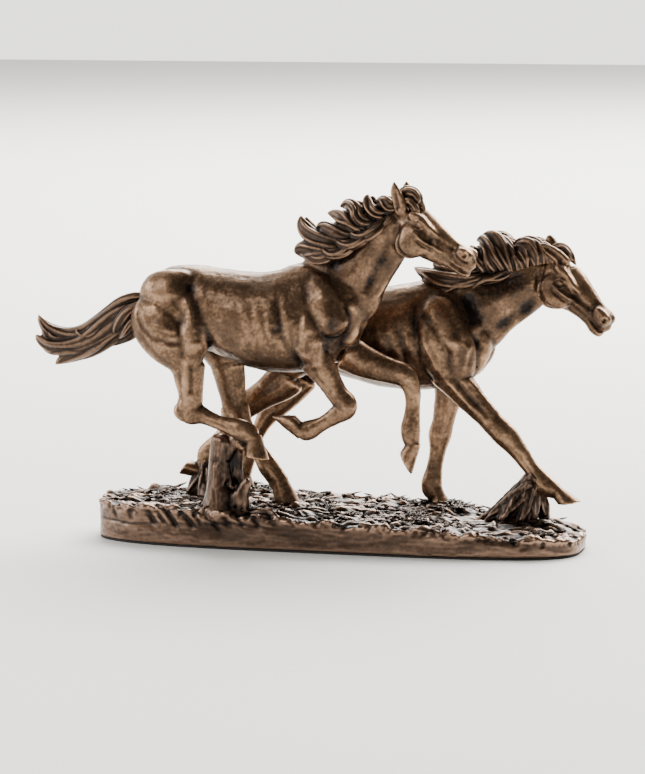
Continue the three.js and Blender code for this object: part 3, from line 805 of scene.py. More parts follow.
def trailing_horse() -> Horse:
    """Return the horse that runs behind, on the -Y side."""
    mid = -26.0
    torso = (
        Mass(((-136, -26, 160, 10, 9), (-118, -26, 159, 26, 20), (-101, -26, 160.5, 29.5, 23),
              (-84, -26, 160, 28.5, 22.5), (-66, -26, 156.5, 30.5, 25), (-47, -26, 153, 33.5, 26.5),
              (-28, -26, 154, 35.5, 26), (-10, -26, 158.5, 36, 23), (8, -26, 158, 31, 19.5),
              (24, -26.5, 152, 17, 12)), blunt=0.12, sides=36, rings=40),
        *paired(mid, Mass(((-132, -33, 166, 7, 6), (-117, -37, 171, 15, 10), (-101, -38, 172, 15, 10),
                           (-88, -36, 171, 9, 6)))),
        Mass(((-127, -34, 172, 10, 8), (-119, -38, 155, 20, 12), (-109, -41, 139, 18, 11),
              (-100, -41, 124, 11, 8), (-97, -41, 112, 8, 6))),
        Mass(((-96, -36, 174, 9, 8), (-92, -40, 158, 13, 10), (-92, -42, 143, 12, 10),
              (-95, -42, 130, 9, 8), (-95, -41, 116, 8, 7))),
        Mass(((-112, -18, 172, 12, 8), (-96, -14, 154, 24, 12), (-82, -12, 135, 18, 10.5),
              (-77, -12, 116, 11, 7.5))),
        Mass(((-14, -34, 186, 8, 6), (-6, -41, 172, 13, 8), (2, -42.5, 158, 13, 8.5), (9, -41, 147, 9, 8))),
        Mass(((-14, -38, 170, 9, 7), (-15, -43, 155, 12, 8.5), (-13, -43.5, 142, 12, 9),
              (-9, -41, 131, 9, 8), (-5, -39, 122, 8, 6.5))),
        Mass(((-14, -18, 186, 8, 6), (-6, -11, 172, 13, 8), (4, -10, 158, 14, 9), (12, -11, 147, 11, 9))),
        Mass(((-14, -14, 168, 9, 7), (-10, -9.5, 152, 13, 9), (-2, -11, 139, 13, 9), (8, -13, 131, 11, 8))),
        *paired(mid, Mass(((6, -32, 170, 7, 5), (10, -33, 160, 9, 7), (11, -32, 150, 9, 6), (6, -32, 139, 8, 5)))),
    )
    head = (
        Mass(((-14, -26, 160, 24, 13), (4, -26, 177, 30, 13.5), (16, -26.5, 191, 25.5, 11.5),
              (26.5, -27, 202.5, 22.5, 10), (37, -28, 214, 19.5, 9), (50, -30, 227, 12, 7)),
             blunt=0.12, sides=32, rings=36),
        Mass(((44, -28.5, 230, 7, 5.5), (54, -31, 220, 14.5, 8.5), (64, -34, 213.5, 14.5, 8.5),
              (74, -37, 207.5, 12, 7), (83.5, -39.5, 202.5, 9.8, 5.6), (92, -41.5, 198.5, 8.8, 5.6),
              (101.5, -43.5, 195, 5, 4.5)), blunt=0.14, sides=32, rings=36),
        *paired_head(((47, -37, 216, 7, 3.5), (55, -40, 212, 13, 4.6), (63, -41, 209, 11, 4.2),
                      (70, -41.5, 206, 5, 2.5)), 5.6),
        *paired_head(((54, -36.5, 227, 3.5, 3.5), (61, -39.5, 225, 4, 4), (68, -41, 219, 3.2, 3.2),
                      (77, -42, 211.5, 2, 2.2)), 5.2),
        *paired_head(((88, -45, 205, 3.5, 3), (94, -47, 202.5, 4.6, 3.4), (99, -47, 199.5, 3.6, 3)), 4.2),
        Mass(((86, -40, 195, 3.5, 3.5), (92, -41.5, 191.5, 4, 4.4), (97, -42.8, 190.5, 3, 3.4))),
    )
    ears = (
        Mass(((50, -35, 225, 4.2, 3.4), (48, -36.5, 234, 4.6, 3), (45.5, -38, 243, 3.4, 2.4),
              (44.5, -38.5, 250, 0.9, 0.8))),
        Mass(((52, -26, 226, 4.2, 3.4), (51, -23.5, 235, 4.6, 3), (49.5, -22.5, 243, 3.4, 2.4),
              (49.5, -22.5, 249, 0.9, 0.8))),
    )
    limbs = {
        "right_hind": Limb(
            ((-97, -41, 126, 12, 8), (-96, -41, 114, 10.5, 6.6), (-95, -41, 102, 8.6, 5.6),
             (-95.5, -41, 92.5, 9.4, 5.4), (-87, -41, 89.5, 6.4, 4.2), (-79, -41, 86.3, 5.2, 3.5),
             (-71, -41, 83.5, 5.4, 3.6), (-62.5, -41, 81, 7.2, 4.8), (-56, -41, 78.5, 7.6, 4.9),
             (-50.8, -41, 74, 6.2, 4.6)),
            Hoof((-50.8, -41, 74), (-40.5, -41, 60.5), (-57, -41, 63), 6.2, 7.0),
            (-96, -41, 116), (0, 0, -1), -1,
            (Mass(((-103, -41, 97, 3, 3), (-102.5, -41, 91, 4.5, 4.2), (-96, -41, 87, 4, 3.6)), sides=16, rings=16),
             Mass(((-66, -41, 76, 3, 3), (-62, -41, 71.5, 3.8, 3.6), (-57, -41, 67, 2.6, 3)), sides=16, rings=16)),
        ),
        "left_hind": Limb(
            ((-78, -12, 124, 12.5, 8), (-76, -11, 112, 11, 6.6), (-74, -11, 100, 9.2, 5.8),
             (-70.5, -11, 87, 9, 5.4), (-65, -11, 76.5, 6.4, 4.2), (-59, -11.5, 66.5, 5.4, 3.6),
             (-54, -12, 60, 6, 4.2), (-48, -13, 51, 7, 5), (-42.5, -13, 43.5, 7, 5.2), (-39.5, -13, 39, 7, 5.4)),
            Hoof((-39.5, -13, 39), (-23.5, -13, 24), (-43, -13, 24), 7.2, 8.0),
            (-77, -12, 115), (0, 0, -1), 1,
            (Mass(((-79, -11, 92, 3, 3), (-78, -11, 86, 4.2, 4), (-72, -11, 82, 4, 3.6)), sides=16, rings=16),),
        ),
        "right_fore": Limb(
            ((-10, -39, 132, 12, 8), (-5, -39, 124, 10.4, 6.8), (0, -39, 116.5, 8.6, 5.8),
             (7, -39, 106, 7.4, 5.2), (12.5, -39, 98.5, 7.6, 5.4), (5, -39, 92.3, 6, 4.2),
             (-4, -39, 86.5, 5, 3.5), (-14, -39, 81.5, 6.6, 4.4), (-21, -39, 80.5, 5.4, 4)),
            Hoof((-20, -39, 81), (-39, -39, 90), (-22.5, -39, 90.8), 5.8, 7.0),
            (-5, -39, 125), (0.6, 0, -0.8), -1,
            (Mass(((8, -39, 104, 4, 4), (14, -39, 100, 5, 4.8), (15, -39, 95, 4, 4.2)), sides=16, rings=16),),
        ),
        "left_fore": Limb(
            ((4, -14.5, 133, 13, 8.5), (16, -14, 127, 11.8, 7.2), (28, -13, 122.5, 9.8, 6),
             (38, -13, 119.5, 8.6, 5.4), (46.5, -13, 116.5, 8.2, 5.4), (51.5, -13, 107.5, 6, 4.2),
             (52, -13, 95, 5.2, 3.5), (50.5, -13, 80, 6.8, 4.6), (52, -13, 71.5, 5.2, 4.2)),
            Hoof((52.3, -13, 69.5), (51.7, -13, 50), (43.6, -13, 64.5), 5.4, 6.6),
            (14, -14, 128), (0.9, 0, -0.4), 1,
        ),
    }
    strokes = (
        Stroke(((-99, 184), (-94, 177), (-90, 168), (-87, 154), (-85, 142), (-81, 130)), 3.6, 3.0),
        Stroke(((-97, 170), (-91, 159), (-90, 146)), 2.6, 1.2, Cut.RIDGE, -1),
        Stroke(((-106, 170), (-99, 159), (-98, 148)), 3.0, 1.6, Cut.GROOVE, -1),
        Stroke(((-130, 156), (-126, 148), (-119, 142), (-106, 139), (-97, 140)), 1.8, 1.3, Cut.GROOVE, -1),
        Stroke(((-122, 152), (-110, 148.5), (-101, 147)), 2.4, 0.9, Cut.RIDGE, -1),
        Stroke(((-130, 147), (-124, 138), (-116, 130), (-107, 124)), 1.8, 1.1, Cut.GROOVE, -1),
        Stroke(((-131, 165), (-132, 157), (-130, 149)), 1.6, 1.0, Cut.RIDGE, -1),
        Stroke(((-97, 130), (-97, 108)), 2.2, 0.9, Cut.RIDGE, -1),
        Stroke(((-92.5, 126), (-93, 114), (-94, 103)), 1.5, 1.0, Cut.GROOVE, -1),
        Stroke(((-101, 122), (-101, 110), (-100, 98)), 1.4, 0.8, Cut.GROOVE, -1),
        Stroke(((-86, 168), (-81, 151), (-72, 138), (-57, 129), (-39, 124)), 3.4, 1.1, Cut.RIDGE),
        Stroke(((-33, 172), (-31, 158), (-29, 146), (-24, 133)), 2.4, 2.2),
        Stroke(((-62, 168), (-58, 150), (-50, 136)), 2.4, 0.5),
        Stroke(((-52, 168), (-49, 150), (-43, 134)), 2.2, 0.5),
        Stroke(((-43, 166), (-41, 150), (-36, 136)), 2.0, 0.6),
        Stroke(((-37, 156), (-38, 148), (-36, 140)), 2.4, 0.9, Cut.RIDGE),
        Stroke(((-13, 187), (-11, 174), (-6, 160), (-4, 150)), 2.6, 0.7),
        Stroke(((-1, 177), (2, 164), (-1, 152)), 3.4, 0.5, Cut.RIDGE),
        Stroke(((-16, 162), (-17.5, 148), (-19, 138)), 1.8, 1.2),
        Stroke(((-9, 150), (-11, 141), (-13, 133)), 2.0, 0.9),
        Stroke(((0, 184), (4, 172), (5, 160), (4, 149), (1, 139)), 2.6, 1.0),
        Stroke(((-12, 130), (-6, 119), (0, 110)), 1.6, 0.8),
        Stroke(((12, 174), (14, 166), (15, 157)), 1.6, 1.2),
        Stroke(((20, 160), (15, 149), (8, 141)), 1.6, 0.5),
        Stroke(((43, 216), (38, 204), (31, 189), (23, 173)), 3.2, 3.6),
        Stroke(((36, 222), (29, 209), (21, 195), (11, 178)), 4.2, 2.2, Cut.RIDGE),
        Stroke(((48, 203), (42, 190), (35, 177), (28, 166)), 1.5, 1.4, Cut.RIDGE),
        Stroke(((22, 212), (10, 199), (-2, 190)), 3.4, 1.6),
        Stroke(((4, 184), (11, 177), (19, 167)), 2.6, 1.3),
        Stroke(((-30, 185), (-50, 183), (-70, 184), (-88, 187)), 2.0, 0.5),
        Stroke(((-86, 88), (-75, 84.5), (-66, 81)), 1.0, 0.6, Cut.GROOVE, -1),
        Stroke(((0, 90.5), (-6, 87), (-11, 84.5)), 1.0, 0.6, Cut.GROOVE, -1),
        Stroke(((51, 104), (50.5, 93), (49.5, 84)), 1.0, 0.6, Cut.GROOVE),
        Stroke(((-63, 72), (-56, 61), (-50, 51)), 1.0, 0.6, Cut.GROOVE),
    )
    dabs = (
        Dab((-100, 178), 7.0, -1.3), Dab((-90, 136), 4.5, 1.0, -1), Dab((-114, 164), 10.0, 0.8, -1),
        Dab((-34, 150), 4.0, -0.7), Dab((-13, 133), 3.5, 0.9, -1), Dab((8, 150), 5.0, -0.5),
        Dab((-3, 142), 4.0, 0.7, -1), Dab((16, 165), 3.5, 0.8), Dab((-76, 160), 9.0, -0.9),
    )
    face_strokes = (
        Stroke(((48.4, 225), (46, 217), (45.4, 208.5), (49.4, 200.4), (57.4, 196.2), (66, 197.6)), 2.3, 1.7),
        Stroke(((60, 215), (66, 210), (73, 206.5), (79, 203)), 1.2, 0.9, Cut.RIDGE),
        Stroke(((60, 212), (66, 207.5), (73, 203.5)), 1.2, 0.6),
        Stroke(((59.5, 223), (62.5, 224.6), (66, 222)), 0.8, 0.8, Cut.RIDGE),
        Stroke(((59.5, 219.4), (62.5, 218.6), (66, 219.6)), 0.7, 0.5, Cut.RIDGE),
        Stroke(((66, 220), (74, 213), (82, 208), (90, 205)), 1.6, 0.6),
        Stroke(((82, 197.5), (87, 193.6), (92, 191), (97, 190)), 0.8, 1.3),
        Stroke(((84, 199.5), (89, 195.6), (95, 193.2)), 1.1, 0.5, Cut.RIDGE),
        Stroke(((72, 203), (78, 200), (83, 198)), 1.4, 0.6),
        Stroke(((47.5, 229), (46.4, 237), (45.4, 244)), 1.5, 1.7),
    )
    face_dabs = (
        Dab((63, 221.4), 4.2, -1.1), Dab((63, 221.6), 1.7, 1.2), Dab((95, 202), 1.5, -1.8),
        Dab((96.5, 204.2), 1.3, 0.6), Dab((71, 213), 3.2, -0.5), Dab((56, 228), 2.4, 0.5),
    )
    # painted shade: negative heights darken the patina on the neck, chest, belly and flanks where they lie in shade;
    # painted highlights: positive heights lighten it along the nose and on the back
    painted_shade_and_highlights = (
        Dab((18, 206), 9.0, -0.2), Dab((4, 195), 9.0, -0.23), Dab((36, 196), 4.5, -0.2), Dab((28, 182), 5.0, -0.2),
        Dab((24, 196), 22.0, -0.1), Dab((7, 153), 9.0, -0.26), Dab((-18, 130), 8.0, -0.15), Dab((-85, 150), 7.0, -0.18),
        Dab((-45, 128), 10.0, -0.14), Dab((-100, 178), 8.0, -0.08), Dab((4, 139), 6.0, -0.2),
        Dab((-35, 150), 6.0, -0.12), Dab((-112, 150), 7.0, -0.1), Dab((-66, 140), 7.0, -0.11),
        Dab((-92, 104), 6.0, -0.08), Dab((71, 211), 5.0, -0.2), Dab((84, 203), 4.0, -0.14), Dab((-20, 166), 6.0, -0.14),
        Dab((74, 220), 6.0, 0.26), Dab((85, 212), 5.0, 0.26), Dab((96, 206), 4.0, 0.2),
        Dab((-76, 166), 12.0, 0.1), Dab((-118, 166), 10.0, 0.1), Dab((-48, 158), 8.0, 0.1), Dab((57, 204), 5.0, 0.08),
    )
    near_mane = (
        Lock(((14, -33, 205), (0, -37, 203.5), (-12, -35, 203), (-21, -31, 202), (-26, -29, 200)), 5.2, 3.6),
        Lock(((20, -32, 211), (6, -37, 207), (-7, -36, 209), (-16, -33, 214), (-20, -31, 220), (-21, -30, 225)),
             4.2, 3.4),
        Lock(((26, -31, 217), (14, -36, 212), (4, -37, 214), (-5, -34, 218), (-10, -31, 217)), 3.8, 3.2),
        Lock(((30, -31, 220), (20, -36, 217), (12, -36, 222), (5, -34, 226), (-3, -30, 227)), 4.2, 3.4),
        Lock(((36, -31, 224), (27, -35, 220), (19, -35, 224), (16, -33, 230), (11, -30, 233), (5, -28, 231)),
             4.2, 3.4),
        Lock(((40, -31, 228), (33, -35, 227), (27, -34, 230), (24.5, -31, 236), (25, -29, 240)), 3.4, 2.8),
        Lock(((46, -31, 234), (41, -34, 233), (36, -33, 236), (31, -30, 237)), 3.2, 2.8),
        Lock(((39, -34, 223), (33, -38.5, 217), (25, -39.5, 212.5), (18, -38.5, 213), (12, -36, 217)), 2.6, 2.6),
        Lock(((30, -35, 217), (24, -39.5, 210), (15, -40, 206.5), (7, -38.5, 208), (1, -36, 212)), 2.8, 2.6),
        Lock(((19, -36, 210), (12, -40, 203), (3, -40, 200.5), (-5, -38, 203), (-10, -35, 207)), 2.8, 2.6),
        Lock(((42, -34, 226), (35, -36.5, 220), (28, -38, 216), (20, -37, 217)), 2.6, 2.4),
        Lock(((8, -36, 205), (0, -39, 198.5), (-9, -37.5, 196.5), (-17, -34, 199), (-22, -31, 203)), 2.8, 2.6),
        Lock(((22, -30, 222), (14, -30, 218), (4, -30, 213), (-8, -29, 209)), 6.0, 5.0),
        Lock(((44, -30, 234), (36, -29, 229), (28, -28, 224), (20, -28, 218)), 6.0, 5.0),
    )
    forelock = (
        Lock(((45, -31, 237), (51, -32, 242), (57, -33, 241), (60, -34, 236), (57, -35, 233)), 2.8, 2.8),
        Lock(((46, -29, 238), (53, -30, 239), (60, -32, 235), (65, -34, 229)), 2.8, 2.8),
        Lock(((47, -33, 236), (54, -35, 236), (59, -36, 231), (61, -37.5, 227)), 2.2, 2.2),
        Lock(((44, -28, 238), (50, -27.5, 241), (57, -29, 239), (62, -31, 233)), 2.4, 2.4),
    )
    tail = (
        Lock(((-129, -26, 166), (-143, -27, 164), (-157, -27, 153), (-170, -27, 143), (-184, -26, 138.5),
              (-197, -25, 141), (-205, -25, 147), (-208, -25, 153)), 4.6, 4.4, 8),
        Lock(((-129, -28, 160), (-144, -30, 156), (-158, -30, 147), (-170, -29, 138.5), (-184, -28, 134),
              (-198, -27, 133), (-206, -26, 136), (-210, -26, 139)), 5.2, 4.2, 8),
        Lock(((-129, -24, 158), (-145, -22, 154), (-158, -22, 145), (-170, -23, 137), (-184, -24, 132.5),
              (-197, -25, 132), (-207, -25, 134)), 5.2, 4.2, 8),
        Lock(((-129, -27, 153), (-143, -29, 148), (-157, -29, 140), (-170, -28, 132), (-182, -27, 127.5),
              (-190, -26, 123.5), (-196, -26, 119)), 5.0, 4.2, 8),
        Lock(((-130, -25, 150), (-145, -24, 145), (-158, -24, 138), (-171, -25, 131), (-183, -25, 129),
              (-192, -25, 126)), 4.6, 4.0, 7),
        Lock(((-130, -27, 150), (-142, -28, 143), (-153, -28, 138), (-163, -27, 133)), 4.0, 3.6, 6),
        Lock(((-160, -27, 141), (-174, -28, 133), (-187, -27, 130), (-198, -26, 129.5), (-205, -25, 129)), 3.8, 3.4, 7),
        Lock(((-176, -26, 138), (-190, -26, 137), (-200, -26, 139), (-206, -25, 145)), 3.4, 3.2, 6),
        Lock(((-158, -31, 150), (-165, -32.5, 142), (-171, -32, 139), (-177, -31, 141), (-179, -30, 145)),
             2.2, 2.0, 5),
        Lock(((-132, -32, 163), (-141, -34, 158), (-149, -34, 148), (-152, -32, 140)), 2.6, 2.4, 5),
        Lock(((-131, -32, 157), (-137, -34, 152), (-143, -34, 144), (-148, -32, 139)), 2.6, 2.4, 5),
        Lock(((-132, -20, 163), (-142, -18, 157), (-152, -18, 148), (-160, -20, 141)), 3.0, 2.4, 5),
    )
    return Horse(
        "trailing", mid, torso, head, ears, limbs, (8, -26, 178), (0.72, 0, 0.69), (72, -36, 214),
        strokes, dabs, face_strokes, face_dabs, painted_shade_and_highlights, both_sides(near_mane, -29.0), forelock, tail,
    )


def paired_head(spine: tuple[Station, ...], reach: float) -> tuple[Mass, Mass]:
    """Give a mass on the near cheek and its twin across the turned head.

    Args:
        spine: the near mass.
        reach: the near mass's distance from the head's own middle plane.

    Returns:
        Both masses.
    """
    twin = tuple((x + 0.35 * reach, y + 2 * reach, z, d, w) for x, y, z, d, w in spine)
    return Mass(spine, sides=20, rings=20), Mass(twin, sides=20, rings=20)


def leading_horse() -> Horse:
    """Return the horse that runs ahead, on the +Y side."""
    mid = 26.0
    torso = (
        Mass(((-62, 26, 150, 10, 9), (-44, 26, 147, 26, 20), (-27, 26, 146.5, 29.5, 23),
              (-10, 26, 144, 31, 23.5), (7.5, 26, 140.5, 32.5, 25.5), (27, 26, 138.5, 35, 26.5),
              (47, 26, 139.5, 37, 25), (65, 26, 142, 37, 22.5), (82, 26, 141, 32, 20),
              (102, 26, 137, 19, 13.5)), blunt=0.12, sides=36, rings=40),
        *paired(mid, Mass(((-58, 19, 156, 7, 6), (-43, 15, 158, 15, 10), (-28, 14, 158, 15, 10),
                           (-14, 16, 156, 9, 6)))),
        Mass(((-50, 18, 158, 11, 8), (-42, 13, 143, 20, 12), (-38, 11.5, 127, 17, 11), (-44, 12, 110, 11, 8))),
        Mass(((-26, 16, 160, 9, 8), (-22, 12, 144, 14, 10), (-25, 11, 128, 13, 10), (-34, 12, 114, 10, 8))),
        Mass(((-50, 34, 158, 11, 8), (-40, 38, 143, 23, 12), (-30, 39, 124, 19, 11), (-38, 38, 106, 12, 8))),
        Mass(((56, 17, 169, 8, 6), (63, 11.5, 158, 14, 9), (72, 9.5, 145, 14, 9), (80, 10, 134, 11, 8.5),
              (79, 11, 121, 11, 8), (78, 11.5, 110, 8, 6.5))),
        Mass(((56, 13, 158, 9, 7), (58, 8.5, 145, 12, 9), (62, 8.5, 132, 12, 9.5), (68, 10.5, 121, 11, 8.5),
              (76, 11, 112, 9, 7))),
        Mass(((56, 35, 169, 8, 6), (63, 40, 156, 14, 9), (70, 42, 142, 14, 9), (74, 41, 128, 11, 8))),
        Mass(((54, 40, 152, 10, 8), (58, 42.5, 136, 13, 9.5), (64, 40.5, 120, 11, 8.5), (66, 38, 108, 9, 7.5))),
        *paired(mid, Mass(((84, 19, 151, 8, 6), (89, 18.5, 142, 10, 7), (89.5, 18, 132, 9.5, 7), (84, 17, 122, 9, 6.5),
                           (77, 15, 114, 7, 5.5)))),
    )
    head = (
        Mass(((60, 26, 142, 24, 13), (80, 26, 156, 30.5, 14), (98, 25.5, 167.5, 26.5, 12),
              (111, 25, 174, 23.5, 10.5), (124, 24, 179.5, 20, 9.5), (142, 21.5, 187, 11, 7.5)),
             blunt=0.12, sides=32, rings=36),
        Mass(((141, 22, 197, 7, 5.5), (145, 18.5, 183, 14.5, 8.5), (153.5, 16, 175, 14.5, 8.5),
              (161, 14, 169, 12, 7), (168, 12, 162.5, 9.8, 5.6), (175, 10, 155.5, 8.8, 5.6),
              (182, 8, 149.5, 5, 4.5)), blunt=0.14, sides=32, rings=36),
        *paired_head(((136, 13, 183, 6, 3.5), (142, 10, 176.5, 12.5, 4.6), (149, 8.5, 171.5, 11, 4.2),
                      (156, 7.5, 167, 5, 2.5)), 5.6),
        *paired_head(((144, 13, 192, 3.5, 3.5), (149, 10.5, 187.5, 4, 4), (154, 9, 181.5, 3.2, 3.2),
                      (161, 7.5, 173, 2, 2.2)), 5.2),
        *paired_head(((171, 6, 164, 3.5, 3), (177.5, 4, 158, 4.6, 3.4), (181.5, 3.5, 153, 3.6, 3)), 4.2),
        Mass(((167, 12, 155, 3.5, 3.5), (172, 10, 149.5, 4, 4.4), (177, 8.5, 146.5, 3, 3.4))),
    )
    ears = (
        Mass(((152, 14.5, 190, 4, 3.4), (147, 12.5, 196, 4.4, 3), (139.5, 11, 202, 3.6, 2.4),
              (132, 10.5, 206.5, 0.9, 0.8))),
        Mass(((143, 24, 192, 4.4, 3.4), (141, 25.5, 199, 4.6, 3), (138, 27, 206, 3.8, 2.6),
              (136.5, 27.5, 211, 1.4, 1.2))),
    )
    limbs = {
        "right_hind": Limb(
            ((-38, 12.5, 113, 14, 8.5), (-48, 13, 105, 12.5, 7), (-58, 13, 98, 10.2, 6),
             (-69, 13, 90.5, 9.2, 5.4), (-76.5, 13, 82, 6.6, 4.2), (-83, 13, 74, 5.4, 3.6),
             (-90, 13, 65.5, 5.4, 3.6), (-99, 13, 55.5, 7, 4.6), (-101.5, 13, 48.5, 5.6, 4.2),
             (-103.5, 13, 44, 5.6, 4.2)),
            Hoof((-104.5, 13, 43), (-119.6, 13, 40), (-111.6, 13, 50), 6.0, 7.0),
            (-46, 13, 106), (-0.75, 0, -0.65), -1,
        ),
        "left_hind": Limb(
            ((-37, 38, 110, 13.5, 8), (-44, 38, 100, 11.5, 6.8), (-51, 38, 91.5, 9.6, 6),
             (-59, 38, 84.5, 9, 5.4), (-64.5, 38, 76, 6.4, 4.2), (-69.5, 38, 67, 5.4, 3.6),
             (-74, 38, 57, 5.6, 3.6), (-79.5, 38, 45, 7, 4.6), (-80.5, 38, 36, 5.6, 4.2)),
            Hoof((-80.5, 38, 36), (-71.5, 38, 26), (-86, 38, 27), 6.0, 7.4),
            (-42, 38, 103), (-0.6, 0, -0.8), 1,
        ),
        "right_fore": Limb(
            ((68, 12, 121, 14, 8.5), (78, 11, 109.5, 11.6, 7.2), (90, 11, 96.5, 9.2, 6),
             (101, 11, 85, 8, 5.4), (111.5, 11, 74.5, 8.4, 5.6), (120.5, 11, 64.5, 6.4, 4.2),
             (128, 11, 54.5, 5.4, 3.6), (137, 11, 43.5, 7.2, 4.6), (145, 11, 39.5, 5.6, 4.2)),
            Hoof((148, 11, 37.5), (163, 11, 32.3), (147.2, 11, 29.8), 5.4, 7.2),
            (73, 12, 116), (0.65, 0, -0.75), -1,
            (Mass(((106, 10.5, 82, 4, 4), (113, 10.5, 76, 5, 4.8), (116, 10.5, 69, 4, 4.2)), sides=16, rings=16),),
            reach=18.0,
        ),
        "left_fore": Limb(
            ((66, 38, 112, 12, 8), (66, 38, 100, 10, 6.8), (64, 38, 88, 8.4, 5.8),
             (62, 38, 78, 7.6, 5.4), (60, 38, 69.5, 8, 5.6), (58.5, 38, 59, 6, 4.2),
             (56.5, 38, 48, 5.6, 3.6), (54.5, 38, 34, 7.6, 4.6), (59.5, 38, 27.5, 5.8, 4.2)),
            Hoof((59.5, 38, 26.5), (71, 38, 17), (55, 38, 18.5), 6.0, 7.8),
            (66, 38, 106), (0, 0, -1), 1,
        ),
    }
    strokes = (
        Stroke(((57, 170), (49, 161), (50, 145), (55, 131), (62, 118), (69, 106)), 2.8, 1.6),
        Stroke(((58, 170), (71, 161), (79, 148), (82, 134), (83, 122)), 2.8, 1.5),
        Stroke(((60, 164), (64, 151), (71, 137), (75, 125)), 3.0, 0.9, Cut.RIDGE),
        Stroke(((65, 156), (67, 142), (72, 131)), 2.2, 0.6),
        Stroke(((58, 146), (61, 134), (66, 124)), 1.8, 0.9),
        Stroke(((134, 171), (119, 159), (101, 146)), 3.0, 3.4),
        Stroke(((92, 160), (108, 167), (127, 176)), 4.4, 2.0, Cut.RIDGE),
        Stroke(((131, 165), (119, 153), (106, 141)), 1.6, 1.5, Cut.RIDGE),
        Stroke(((84, 172), (86, 160), (90, 147)), 3.0, 2.6),
        Stroke(((92, 176), (108, 180), (126, 186)), 2.6, 1.4),
        Stroke(((91, 141), (89, 131), (86, 120)), 1.8, 1.2),
        Stroke(((88, 138), (86, 128), (84, 118)), 1.6, 0.9, Cut.RIDGE),
        Stroke(((75, 116), (87, 102), (101, 87)), 1.8, 1.6),
        Stroke(((83, 116), (95, 103), (107, 90)), 1.6, 1.6, Cut.RIDGE),
        Stroke(((70, 114), (80, 103), (92, 90)), 1.6, 1.0, Cut.RIDGE),
        Stroke(((-12, 118), (12, 113), (36, 111)), 2.6, 0.8, Cut.RIDGE),
        Stroke(((-34, 111), (-48, 101), (-62, 92)), 2.0, 0.8, Cut.RIDGE, -1),
        Stroke(((-30, 105), (-44, 96), (-58, 87)), 1.6, 0.8, Cut.GROOVE, -1),
        Stroke(((38, 152), (41, 136), (45, 118)), 2.6, 1.6),
        Stroke(((-24, 170), (-18, 156), (-14, 142), (-12, 126)), 3.6, 2.6),
        Stroke(((-56, 146), (-50, 134), (-42, 124)), 1.8, 1.2),
        Stroke(((-46, 152), (-36, 142), (-32, 130)), 2.8, 1.1),
        Stroke(((18, 152), (22, 136), (28, 122)), 2.4, 0.5),
        Stroke(((28, 152), (32, 136), (37, 121)), 2.2, 0.6),
        Stroke(((118, 66), (124, 58), (131, 49)), 1.0, 0.6),
        Stroke(((57.5, 64), (56, 52), (54, 40)), 1.0, 0.6),
        Stroke(((-79, 76), (-86, 68), (-94, 59)), 1.0, 0.6),
        Stroke(((-66, 72), (-72, 60), (-77, 50)), 1.0, 0.6),
    )
    dabs = (
        Dab((-22, 164), 7.0, -1.2), Dab((-26, 124), 4.5, 0.9), Dab((-40, 150), 9.0, 0.7), Dab((88, 140), 4.0, -0.8),
        Dab((94, 150), 3.5, 0.4), Dab((0, 148), 9.0, -0.9), Dab((62, 120), 4.0, 0.9), Dab((76, 138), 4.5, 0.8),
    )
    face_strokes = (
        Stroke(((134.4, 191), (132.1, 183), (131.6, 174.6), (135.4, 165.4), (143.2, 159.6), (152, 159)), 2.3, 1.7),
        Stroke(((143, 179), (150, 173), (157, 168.5), (163, 163.5)), 1.2, 0.9, Cut.RIDGE),
        Stroke(((143, 175.5), (150, 169.5), (157, 164.5)), 1.2, 0.6),
        Stroke(((145, 182.2), (148.5, 183.6), (152, 180.6)), 0.8, 0.8, Cut.RIDGE),
        Stroke(((145, 178), (148.6, 177), (152, 178.2)), 0.7, 0.5, Cut.RIDGE),
        Stroke(((152, 180), (160, 171), (168, 164), (174, 160)), 1.6, 0.6),
        Stroke(((166.5, 157.5), (171.5, 152), (175.5, 148.5), (179, 147)), 0.8, 1.3),
        Stroke(((169, 159.5), (174, 154), (179, 151)), 1.1, 0.5, Cut.RIDGE),
        Stroke(((156, 164), (162, 160), (167, 157)), 1.4, 0.6),
        Stroke(((150, 192.5), (144, 199), (136, 204.5)), 1.5, 1.8, Cut.GROOVE, -1),
    )
    face_dabs = (
        Dab((148.6, 180), 4.2, -1.1), Dab((148.6, 180.2), 1.7, 1.2), Dab((179, 156), 1.5, -1.8),
        Dab((180.5, 158.4), 1.3, 0.6), Dab((156, 172), 3.2, -0.5), Dab((146, 189), 2.4, 0.5),
    )
